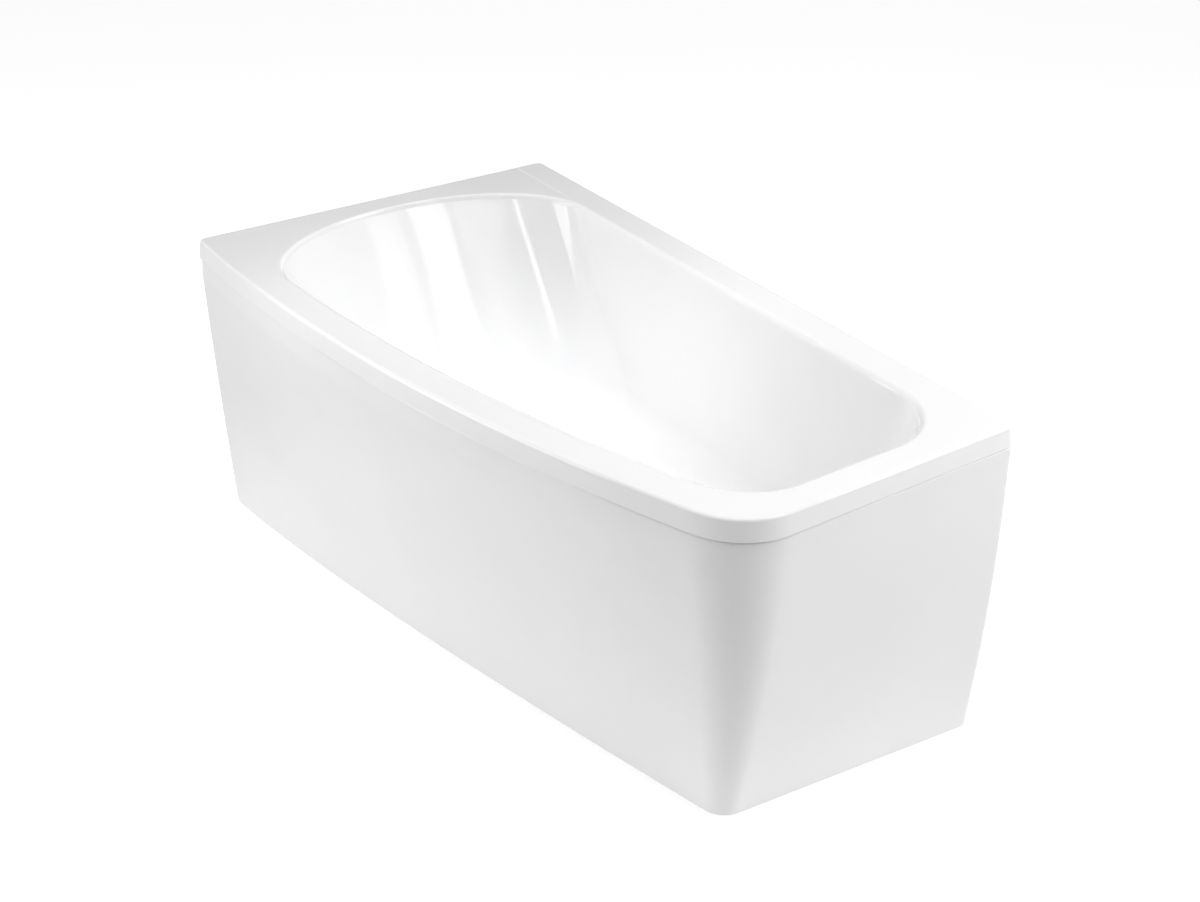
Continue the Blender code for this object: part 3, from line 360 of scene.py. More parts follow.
@dataclass(frozen=True)
class Chrome(Finish):
    """Bright chrome plate with faint water marks."""

    def paint(self, bench: Bench) -> dict:
        """Mirror finish with slightly duller drying marks."""
        marks = bench.remap(bench.noise(60.0, 5.0), 0.55, 0.75)
        tone = bench.blend(marks, (0.80, 0.81, 0.83), (0.74, 0.75, 0.77))
        return {"Base Color": tone, "Metallic": 1.0, "Roughness": 0.05 + 0.10 * marks,
                "Normal": bench.bump(bench.noise(24.0, 1.0), 0.00002)}


@dataclass(frozen=True)
class MouldedPlastic(Finish):
    """Injection-moulded plastic with a fine spark-eroded texture.

    Args:
        tint: Body colour.
        dull: Mean roughness.
    """

    tint: tuple[float, float, float] = (0.80, 0.80, 0.79)
    dull: float = 0.38

    def paint(self, bench: Bench) -> dict:
        """Even colour with flow clouds and a fine grain."""
        flow = bench.noise(16.0, 3.0)
        shade = tuple(channel * 0.9 for channel in self.tint)
        grain = bench.noise(1500.0, 2.0)
        return {
            "Base Color": bench.blend(bench.remap(flow, 0.3, 0.8), self.tint, shade),
            "Roughness": self.dull + 0.10 * grain + 0.05 * flow,
            "Normal": bench.bump(grain, 0.00002),
            "IOR": 1.5,
        }


@dataclass(frozen=True)
class Rubber(Finish):
    """Matt black rubber with dust in its texture."""

    def paint(self, bench: Bench) -> dict:
        """Near black, with pale dust here and there."""
        dust = bench.remap(bench.noise(120.0, 4.0), 0.5, 0.85)
        return {"Base Color": bench.blend(dust, (0.022, 0.022, 0.024), (0.075, 0.073, 0.07)),
                "Roughness": 0.72 + 0.18 * dust, "Normal": bench.bump(bench.noise(900.0, 2.0), 0.00003)}


WHITE_ACRYLIC = Acrylic("polished_acrylic", "white_acrylic")
RESIN = FibreResin("chopped_strand_resin", "resin_backing")
BATTEN_X = Timber("softwood_along", "timber_board", Grain.ALONG_X)
BATTEN_Y = Timber("softwood_across", "timber_board", Grain.ALONG_Y)
BOARD = ChipBoard("chip_board", "timber_board")
ZINC = ZincSteel("zinc_plate", "zinc_steel")
ZINC_BRIGHT = ZincSteel("bright_zinc_plate", "zinc_steel", (0.72, 0.73, 0.74), 0.22, 420.0)
CHROME = Chrome("bright_chrome", "chrome_plate")
WHITE_PLASTIC = MouldedPlastic("white_moulding", "white_plastic")
BLACK_PLASTIC = MouldedPlastic("black_moulding", "black_plastic", (0.035, 0.036, 0.04), 0.42)
BLACK_RUBBER = Rubber("matt_rubber", "black_rubber")
HOSE_GREY = MouldedPlastic("grey_moulding", "grey_hose", (0.42, 0.43, 0.445), 0.40)


# --------------------------------------------------------------- mesh making

def mesh_object(name: str, points: Sequence[Vector], faces: Sequence[Sequence[int]],
                crease: float = 38.0) -> bpy.types.Object:
    """Make an object from points and faces.

    Args:
        name: Name of the object.
        points: Its vertices.
        faces: Vertex numbers of each face.
        crease: Angle in degrees beyond which an edge is shaded sharp.

    Returns:
        The new object, linked to the scene.
    """
    bm = bmesh.new()
    verts = [bm.verts.new(point) for point in points]
    for face in faces:
        bm.faces.new([verts[index] for index in face])
    bmesh.ops.recalc_face_normals(bm, faces=bm.faces)
    return finish_mesh(name, bm, crease)


def finish_mesh(name: str, bm: bmesh.types.BMesh, crease: float = 38.0) -> bpy.types.Object:
    """Turn a bmesh into a smooth-shaded object and free it."""
    mesh = bpy.data.meshes.new(name)
    bm.to_mesh(mesh)
    bm.free()
    mesh.shade_smooth()
    mesh.set_sharp_from_angle(angle=radians(crease))
    item = bpy.data.objects.new(name, mesh)
    bpy.context.scene.collection.objects.link(item)
    return item


def ring_faces(rows: int, count: int, closed_ring: bool, closed_rows: bool = False) -> list[tuple[int, ...]]:
    """Faces between rows of points.

    Args:
        rows: How many rows there are.
        count: Points in each row.
        closed_ring: Whether each row closes on itself.
        closed_rows: Whether the last row joins the first.

    Returns:
        The faces as vertex numbers.
    """
    faces = []
    for row in range(rows if closed_rows else rows - 1):
        here, there = row * count, (row + 1) % rows * count
        for step in range(count if closed_ring else count - 1):
            after = (step + 1) % count
            faces.append((here + step, here + after, there + after, there + step))
    return faces


def eased(profile: Profile, radius: float, closed: bool = True, steps: int = 3) -> Profile:
    """Round the corners of a profile.

    Args:
        profile: Points in order.
        radius: How far each rounding reaches along its two edges, at most.
        closed: Whether the last point joins the first.
        steps: Pieces of each rounding.

    Returns:
        The rounded profile.
    """
    points = [Vector(point) for point in profile]
    rounded: Profile = []
    for index, point in enumerate(points):
        if not closed and index in (0, len(points) - 1):
            rounded.append(tuple(point))
            continue
        before, after = points[index - 1], points[(index + 1) % len(points)]
        reach_in = min(radius, (before - point).length * 0.45)
        reach_out = min(radius, (after - point).length * 0.45)
        start = point + (before - point).normalized() * reach_in
        end = point + (after - point).normalized() * reach_out
        for step in range(steps + 1):
            t = step / steps
            rounded.append(tuple((1 - t) ** 2 * start + 2 * t * (1 - t) * point + t * t * end))
    return rounded


def lathe(name: str, profile: Profile, place: Matrix, sides: int = 72,
          closed: bool = True) -> bpy.types.Object:
    """Turn a profile of (radius, height) points about Z.

    Args:
        name: Name of the object.
        profile: The points; an open profile starts and ends on the axis.
        place: Matrix that puts the piece where it belongs.
        sides: Points round the turn.
        closed: Whether the profile closes on itself, as on a washer.

    Returns:
        The turned object.
    """
    points: list[Vector] = []
    faces: list[tuple[int, ...]] = []
    rim = profile if closed else profile[1:-1]
    for radius, height in rim:
        points += [Vector((radius * cos(2 * pi * s / sides), radius * sin(2 * pi * s / sides), height))
                   for s in range(sides)]
    faces += ring_faces(len(rim), sides, True, closed)
    if not closed:
        low, high = len(points), len(points) + 1
        points += [Vector((0, 0, profile[0][1])), Vector((0, 0, profile[-1][1]))]
        last = (len(rim) - 1) * sides
        for s in range(sides):
            after = (s + 1) % sides
            faces += [(low, after, s), (high, last + s, last + after)]
    return mesh_object(name, [place @ point for point in points], faces)


def fluted(name: str, sections: Sequence[tuple[float, float, float]], flutes: int, depth: float,
           place: Matrix, closed: bool, samples: int = 10) -> bpy.types.Object:
    """A turned piece whose rim has finger lobes or ribs.

    Args:
        name: Name of the object.
        sections: (radius, height, share of the flute depth) of each ring.
        flutes: Hollows round the rim.
        depth: Depth of a full flute.
        place: Matrix that puts the piece where it belongs.
        closed: Whether the last ring joins the first, as on a nut; otherwise both ends are capped.
        samples: Points to each flute.

    Returns:
        The fluted object.
    """
    count = flutes * samples
    points = []
    for radius, height, share in sections:
        for step in range(count):
            turn = 2 * pi * step / count
            reach = radius - depth * share * (1 + cos(flutes * turn)) / 2
            points.append(place @ Vector((reach * cos(turn), reach * sin(turn), height)))
    faces = ring_faces(len(sections), count, True, closed)
    if not closed:
        faces += [tuple(range(count)), tuple(range(len(points) - count, len(points)))]
    return mesh_object(name, points, faces)


def evaluated(item: bpy.types.Object, *tools: bpy.types.Object) -> bpy.types.Object:
    """Fix a piece's modifiers into its mesh and remove the tools that they used."""
    graph = bpy.context.evaluated_depsgraph_get()
    made = bpy.data.meshes.new_from_object(item.evaluated_get(graph))
    item.modifiers.clear()
    item.data = made
    for tool in tools:
        bpy.data.objects.remove(tool, do_unlink=True)
    made.shade_smooth()
    made.set_sharp_from_angle(angle=radians(38))
    return item


def combine(item: bpy.types.Object, tool: bpy.types.Object, operation: str) -> None:
    """Add a Boolean step, either "UNION" or "DIFFERENCE"."""
    step = item.modifiers.new(tool.name, "BOOLEAN")
    step.operation = operation
    step.object = tool
    step.solver = "EXACT"


def pipe_joint(item: bpy.types.Object, outer: float, inner: float, reach: tuple[float, float],
               place: Matrix) -> bpy.types.Object:
    """Join a pipe stub to a hollow piece and bore it through the wall.

    Args:
        item: The hollow piece.
        outer: Outside radius of the stub.
        inner: Radius of the bore.
        reach: Start and end of the stub along the local Z of place.
        place: Axis of the stub.

    Returns:
        The piece with its stub.
    """
    start, end = reach
    lip = 0.0015
    collar = [(0, start), (outer, start), (outer, end - 3 * lip), (outer + lip * 0.6, end - 2 * lip),
              (outer + lip * 0.6, end - lip), (outer - lip * 0.4, end), (0, end)]
    stub = lathe("stub", collar, place, closed=False)
    bore = lathe("bore", [(0, start - 0.012), (inner, start - 0.012), (inner, end + 0.02), (0, end + 0.02)],
                 place, closed=False)
    combine(item, stub, "UNION")
    combine(item, bore, "DIFFERENCE")
    return evaluated(item, stub, bore)


def softened(node: str, name: str, radius: float, steps: int = 2) -> bpy.types.Object:
    """Copy a node of the frame and give it rounded edges.

    Args:
        node: The node that the piece stands for.
        name: Name of the piece.
        radius: Width of the rounding.
        steps: Pieces of each rounding.

    Returns:
        The rounded piece.
    """
    bm = bmesh.new()
    bm.from_mesh(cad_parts[node].data)
    bmesh.ops.remove_doubles(bm, verts=bm.verts, dist=1e-5)
    bmesh.ops.dissolve_limit(bm, angle_limit=radians(0.5), verts=bm.verts, edges=bm.edges)
    item = finish_mesh(name, bm)
    round_off = item.modifiers.new("round_off", "BEVEL")
    round_off.width = radius
    round_off.segments = steps
    round_off.limit_method = "ANGLE"
    round_off.angle_limit = radians(28)
    round_off.use_clamp_overlap = True
    return evaluated(item)


def settle(item: bpy.types.Object, finish: Finish, *nodes: str, body: str = BATH) -> bpy.types.Object:
    """Dress a piece, let it ride on its body and say which nodes it stands for."""
    item.data.materials.clear()
    item.data.materials.append(finish.material())
    weigh = item.modifiers.new("weigh", "WEIGHTED_NORMAL")
    weigh.keep_sharp = True
    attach(item, body)
    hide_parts(*nodes)
    log.info("%s: %d faces, stands for %s", item.name, len(item.data.polygons), ", ".join(nodes) or "nothing")
    return item


def centre(node: str) -> Vector:
    """Middle of a node's box."""
    low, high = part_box(node)
    return (low + high) / 2


def upright(node: str) -> Matrix:
    """Vertical axis through the middle of a node, starting at floor height."""
    middle = centre(node)
    return Matrix.Translation((middle.x, middle.y, 0))


# ----------------------------------------------------------------- the plans

@dataclass(frozen=True)
class Plan:
    """Sizes and plan outlines that the rim, basin, backing and apron share."""

    length: float = 1.500
    width: float = 0.850
    height: float = 0.650
    lip_height: float = 0.038
    lip_draft: float = 0.005
    edge_roll: float = 0.007
    wall: float = 0.005
    sweep: float = 0.280
    power: float = 2.2
    wall_corner: float = 0.020
    front_corner: float = 0.090
    deck_rear: float = 0.070
    deck_front: float = 0.068
    deck_head: float = 0.064
    deck_foot: float = 0.054
    basin_roll: float = 0.013
    depth: float = 0.420
    fillet: float = 0.075
    side_lean: float = radians(5)
    foot_lean: float = radians(8)
    back_lean: float = radians(36)
    head_corner: float = 0.235
    foot_corner: float = 0.145
    corner_grow: float = 0.4
    corner_share: float = 0.49
    foot_grow: float = 0.5
    front_share: float = 0.72
    steps_front: int = 84
    steps_foot: int = 26
    steps_rear: int = 60
    steps_head: int = 22
    steps_corner: int = 22

    @property
    def floor_z(self) -> float:
        """Level of the basin floor."""
        return self.height - self.depth

    @property
    def lip_z(self) -> float:
        """Level of the lip's lower edge."""
        return self.height - self.lip_height

    def front_y(self, x: float, inset: float) -> float:
        """The bowed front edge of the rim, moved inwards by inset."""
        along = max((x + self.length / 2) / self.length, 0.0)
        slope = self.sweep / self.length * self.power * along ** (self.power - 1)
        return -self.width / 2 + self.sweep * along ** self.power + inset * sqrt(1 + slope * slope)

    def front_tangent(self, x: float, inset: float) -> tuple[Vector, float]:
        """A point of the front edge and the edge's slope there."""
        step = 0.001
        y = self.front_y(x, inset)
        return Vector((x, y)), (self.front_y(x + step, inset) - y) / step

    @staticmethod
    def corner(start: Vector, bend: Vector, end: Vector, steps: int) -> Ring:
        """Points of a round corner that leaves start towards bend and arrives at end.

        Args:
            start: Where the corner leaves its first edge.
            bend: Where the two edges would meet.
            end: Where it joins its second edge.
            steps: Points that it is drawn with.

        Returns:
            The points, without the last.
        """
        turn = (bend - start).angle(end - bend)
        pull = 4 / 3 * tan(turn / 4) / tan(turn / 2)
        handle_in, handle_out = start.lerp(bend, pull), end.lerp(bend, pull)
        points = []
        for step in range(steps):
            t = step / steps
            u = 1 - t
            points.append(u ** 3 * start + 3 * u * u * t * handle_in
                          + 3 * u * t * t * handle_out + t ** 3 * end)
        return points

    def outline(self, insets: tuple[float, float, float, float], head_cut: tuple[float, float],
                foot_cut: float, front_cut: float) -> Ring:
        """A closed plan outline inside the rim, anticlockwise from the front head corner.

        Args:
            insets: Distances from the head end, foot end, wall side and bowed front.
            head_cut: How far the two head corners eat into the long and the short edges.
            foot_cut: The same for the corner at the wall on the foot end.
            front_cut: The same for the front corner on the foot end.

        Returns:
            The outline's points.
        """
        head, foot, rear, front = insets
        x_head, x_foot, y_rear = -self.length / 2 + head, self.length / 2 - foot, self.width / 2 - rear
        near, near_slope = self.front_tangent(x_head + head_cut[0], front)
        far, far_slope = self.front_tangent(x_foot - front_cut, front)
        near_bend = Vector((x_head, near.y - near_slope * head_cut[0]))
        far_bend = Vector((x_foot, far.y + far_slope * front_cut))
        foot_low = Vector((x_foot, far_bend.y + front_cut))
        foot_high = Vector((x_foot, y_rear - foot_cut))
        rear_foot = Vector((x_foot - foot_cut, y_rear))
        rear_head = Vector((x_head + head_cut[0], y_rear))
        head_high = Vector((x_head, y_rear - head_cut[1]))
        head_low = Vector((x_head, near_bend.y + head_cut[1]))
        points = self.corner(head_low, near_bend, near, self.steps_corner)
        for step in range(self.steps_front):
            x = near.x + (far.x - near.x) * step / self.steps_front
            points.append(Vector((x, self.front_y(x, front))))
        points += self.corner(far, far_bend, foot_low, self.steps_corner)
        points += [foot_low.lerp(foot_high, s / self.steps_foot) for s in range(self.steps_foot)]
        points += self.corner(foot_high, Vector((x_foot, y_rear)), rear_foot, self.steps_corner)
        points += [rear_foot.lerp(rear_head, s / self.steps_rear) for s in range(self.steps_rear)]
        points += self.corner(rear_head, Vector((x_head, y_rear)), head_high, self.steps_corner)
        points += [head_high.lerp(head_low, s / self.steps_head) for s in range(self.steps_head)]
        return points

    def rim(self, inset: float) -> Ring:
        """The outer edge of the rim, moved inwards by inset."""
        small = max(self.wall_corner - inset, 0.004)
        large = self.front_corner - inset * 0.6
        return self.outline((inset, inset, inset, inset), (small, small), small, large)

    def wall_inset(self, drop: float, lean: float) -> float:
        """How far a basin wall of this lean has moved in, this far below the rim."""
        start = self.basin_roll * (1 - sin(lean))
        fillet_top = self.depth - self.fillet
        if drop <= fillet_top:
            return start + tan(lean) * max(drop - self.basin_roll, 0)
        radius = self.fillet / (1 - sin(lean))
        above = self.depth - drop
        top = start + tan(lean) * (fillet_top - self.basin_roll)
        return top + radius * cos(lean) - sqrt(max(radius ** 2 - (radius - above) ** 2, 0))

    def basin(self, drop: float, roll: float = 1.0) -> Ring:
        """The basin's inner face this far below the rim; roll below 1 is on the rim's soft edge."""
        side = self.deck_rear + self.wall_inset(drop, self.side_lean) * roll
        front = self.deck_front + self.wall_inset(drop, self.side_lean) * roll
        head = self.deck_head + self.wall_inset(drop, self.back_lean) * roll
        foot = self.deck_foot + self.wall_inset(drop, self.foot_lean) * roll
        grown = side - self.deck_rear
        width = self.width / 2 - side - self.front_y(-self.length / 2 + head, front)
        head_cut = (self.head_corner - self.corner_grow * grown, self.corner_share * width)
        foot_cut = self.foot_corner - self.foot_grow * grown
        return self.outline((head, foot, side, front), head_cut, foot_cut, self.front_share * foot_cut)

    def wall_drops(self, first: float, straight: int = 16, arc: int = 16) -> list[float]:
        """Depths of the basin's rings, from first down to the floor."""
        fillet_top = self.depth - self.fillet
        drops = [first + (fillet_top - first) * step / straight for step in range(straight + 1)]
        return drops + [self.depth - self.fillet * (1 - cos(pi / 2 * step / arc))
                        for step in range(arc - 1, -1, -1)]

    def basin_rings(self, first: float) -> list[Ring]:
        """Rings of the basin's inner face from this depth down to the floor's edge."""
        return [at_height(self.basin(drop), self.height - drop) for drop in self.wall_drops(first)]

    def waste(self) -> Vector:
        """Middle of the waste hole on the basin floor."""
        middle = centre("drain_flange")
        return Vector((middle.x, middle.y, self.floor_z))

    def overflow(self, drop: float = 0.078) -> Matrix:
        """Frame on the foot wall: origin on the inner face, +Z into the basin, +X up the wall."""
        x = self.length / 2 - self.deck_foot - self.wall_inset(drop, self.foot_lean)
        where = Matrix.Translation((x, self.waste().y, self.height - drop))
        return where @ Matrix.Rotation(-(pi / 2 - self.foot_lean), 4, "Y")


def at_height(points: Sequence[Vector], z: float) -> Ring:
    """Lift plan points to a level."""
    return [Vector((point.x, point.y, z)) for point in points]


def shrunk(ring: Ring, distance: float) -> Ring:
    """A level ring pulled towards its middle by about this distance."""
    middle = sum(ring, Vector((0, 0, 0))) / len(ring)
    pulled = []
    for point in ring:
        away = point - middle
        pulled.append(middle + away * max(1 - distance / away.length, 0.02))
    return pulled


def skin(name: str, rings: Sequence[Ring], closed: bool, cap: bool = False,
         crease: float = 38.0) -> bpy.types.Object:
    """One open surface through rings of points.

    Args:
        name: Name of the object.
        rings: Rows of points, all of the same count.
        closed: Whether each row closes on itself.
        cap: Whether the last row is filled.
        crease: Angle in degrees beyond which an edge is shaded sharp.

    Returns:
        The surface, with its faces turned to the side that is on the right of its rows.
    """
    bm = bmesh.new()
    rows = [[bm.verts.new(point) for point in ring] for ring in rings]
    count = len(rows[0])
    for row, following in zip(rows, rows[1:]):
        for step in range(count if closed else count - 1):
            after = (step + 1) % count
            bm.faces.new((row[step], row[after], following[after], following[step]))
    if cap:
        bm.faces.new(rows[-1])
    return finish_mesh(name, bm, crease)


def thickened(item: bpy.types.Object, wall: float, start: float = 0.0) -> bpy.types.Object:
    """Give a surface its wall, from start to start + wall behind its face."""
    step = item.modifiers.new("wall", "SOLIDIFY")
    step.thickness = wall
    step.offset = -1 - 2 * start / wall
    step.use_even_offset = True
    return evaluated(item)


# ----------------------------------------------------------- shell and backing

def drill(name: str, radius: float, place: Matrix, reach: float = 0.03) -> bpy.types.Object:
    """A cylinder that cuts a round hole, reaching equally far to both sides of its place.

    Args:
        name: Name of the tool.
        radius: Radius of the hole.
        place: Middle of the hole, with Z along its axis.
        reach: Half the length of the cylinder.

    Returns:
        The closed cylinder.
    """
    return lathe(name, [(0, -reach), (radius, -reach), (radius, reach), (0, reach)], place, closed=False)


@dataclass
class BathShell:
    """The drawn acrylic sheet: lip, deck with its rear ledge, and basin.

    Args:
        plan: Outlines and sizes.
        waste_hole: Radius of the hole in the floor.
        overflow_hole: Radius of the hole in the foot wall.
        ledge_line: Distance of the rear ledge's crease from the wall side.
        ledge_rise: Height of the rear ledge above the deck.
        ledge_blend: Width over which the ledge rises.
    """

    plan: Plan
    waste_hole: float = 0.026
    overflow_hole: float = 0.024
    ledge_line: float = 0.072
    ledge_rise: float = 0.0012
    ledge_blend: float = 0.006

    def rings(self) -> list[Ring]:
        """Rings from the lip's lower edge over the deck to the floor's edge."""
        plan = self.plan
        rings = []
        for share in (0.0, 0.15, 0.5, 0.85, 1.0):
            z = plan.lip_z + (plan.height - plan.edge_roll - plan.lip_z) * share
            rings.append(at_height(plan.rim(plan.lip_draft * share), z))
        for step in range(1, 8):
            turn = pi / 2 * step / 7
            inset = plan.lip_draft + plan.edge_roll * (1 - cos(turn))
            rings.append(at_height(plan.rim(inset), plan.height - plan.edge_roll * (1 - sin(turn))))
        deck_edge, basin_edge = rings[-1], at_height(plan.basin(0, 0.0), plan.height)
        for share in (0.04, 0.14, 0.3, 0.5, 0.7, 0.86, 0.96):
            rings.append([start.lerp(end, share) for start, end in zip(deck_edge, basin_edge)])
        for step in range(9):
            turn = pi / 2 * step / 9
            drop = plan.basin_roll * (1 - cos(turn))
            rings.append(at_height(plan.basin(0, sin(turn)), plan.height - drop))
        rings += plan.basin_rings(plan.basin_roll)
        for distance in (0.006, 0.02, 0.05, 0.09):
            rings.append(shrunk(rings[-1], distance))
        return rings

    def raise_ledge(self, item: bpy.types.Object) -> None:
        """Lift the deck's rear ledge, head end included, along a straight crease."""
        plan = self.plan
        line = plan.width / 2 - self.ledge_line
        last_x = -plan.length / 2 + plan.deck_head + plan.head_corner
        bm = bmesh.new()
        bm.from_mesh(item.data)
        half = self.ledge_blend / 2
        for share in (-1.0, -0.5, 0.0, 0.5, 1.0):
            faces = [f for f in bm.faces if f.calc_center_median().z > plan.height - 0.0004
                     and f.calc_center_median().x < last_x]
            parts = {part for f in faces for part in (f, *f.edges, *f.verts)}
            bmesh.ops.bisect_plane(bm, geom=list(parts), plane_co=(0, line + half * share, 0),
                                   plane_no=(0, 1, 0))
        for vert in bm.verts:
            if vert.co.z < plan.height - 0.002:
                continue
            across = min(max((vert.co.y - line + half) / self.ledge_blend, 0.0), 1.0)
            along = min(max((last_x - vert.co.x) / 0.12, 0.0), 1.0)
            level = min(max((vert.co.z - plan.height + 0.002) / 0.002, 0.0), 1.0)
            ease = across * across * (3 - 2 * across) * along * along * (3 - 2 * along)
            vert.co.z -= self.ledge_rise * (1 - ease) * level * along
        bm.to_mesh(item.data)
        bm.free()

    def build(self) -> None:
        """Make the shell with its two holes."""
        plan = self.plan
        item = skin("acrylic_shell", self.rings(), True, True)
        self.raise_ledge(item)
        thickened(item, plan.wall)
        waste = drill("waste_drill", self.waste_hole, Matrix.Translation(plan.waste()))
        spill = drill("overflow_drill", self.overflow_hole, plan.overflow())
        combine(item, waste, "DIFFERENCE")
        combine(item, spill, "DIFFERENCE")
        settle(evaluated(item, waste, spill), WHITE_ACRYLIC, "bath_shell")


@dataclass
class Backing:
    """Hand-laid resin on the back of the basin, and the board bonded under its floor.

    Args:
        plan: Outlines and sizes.
        start: How far below the rim the resin starts.
        wall: Thickness of the resin.
        ragged: How far the laid-up edge wanders.
        waste_hole: Radius of the hole in the floor.
        overflow_hole: Radius of the hole in the foot wall.
    """

    plan: Plan
    start: float = 0.052
    wall: float = 0.0028
    ragged: float = 0.006
    waste_hole: float = 0.026
    overflow_hole: float = 0.024

    def rings(self) -> list[Ring]:
        """Rings of the basin face that the resin follows, with a wandering upper edge."""
        plan = self.plan
        rings = []
        for drop in plan.wall_drops(self.start, 26, 14):
            share = max(1 - (drop - self.start) / 0.06, 0.0)
            ring = []
            for point in at_height(plan.basin(drop), plan.height - drop):
                wander = noise.noise(point * 34) * self.ragged * share
                ring.append(point - Vector((0, 0, abs(wander))))
            rings.append(ring)
        for distance in (0.012, 0.03, 0.06, 0.09):
            rings.append(shrunk(rings[-1], distance))
        return rings

    def build(self) -> None:
        """Make the resin skin and the base board."""
        plan = self.plan
        item = skin("laminate_backing", self.rings(), True, True)
        thickened(item, self.wall, plan.wall + GAP)
        waste = drill("resin_drill", self.waste_hole, Matrix.Translation(plan.waste()))
        spill = drill("resin_overflow_drill", self.overflow_hole, plan.overflow())
        combine(item, waste, "DIFFERENCE")
        combine(item, spill, "DIFFERENCE")
        settle(evaluated(item, waste, spill), RESIN, "resin_backing_skin")
        settle(softened("base_board", "bonded_board", 0.0012), BOARD, "base_board")


@dataclass
class Battens:
    """Softwood strips bonded under the rim."""

    easing: float = 0.002

    def build(self) -> None:
        """Make the three battens."""
        settle(softened("rear_batten", "rear_strip", self.easing, 3), BATTEN_X, "rear_batten")
        settle(softened("head_batten", "head_strip", self.easing, 3), BATTEN_Y, "head_batten")
        settle(softened("foot_batten", "foot_strip", self.easing, 3), BATTEN_Y, "foot_batten")


# ------------------------------------------------------------------- the apron

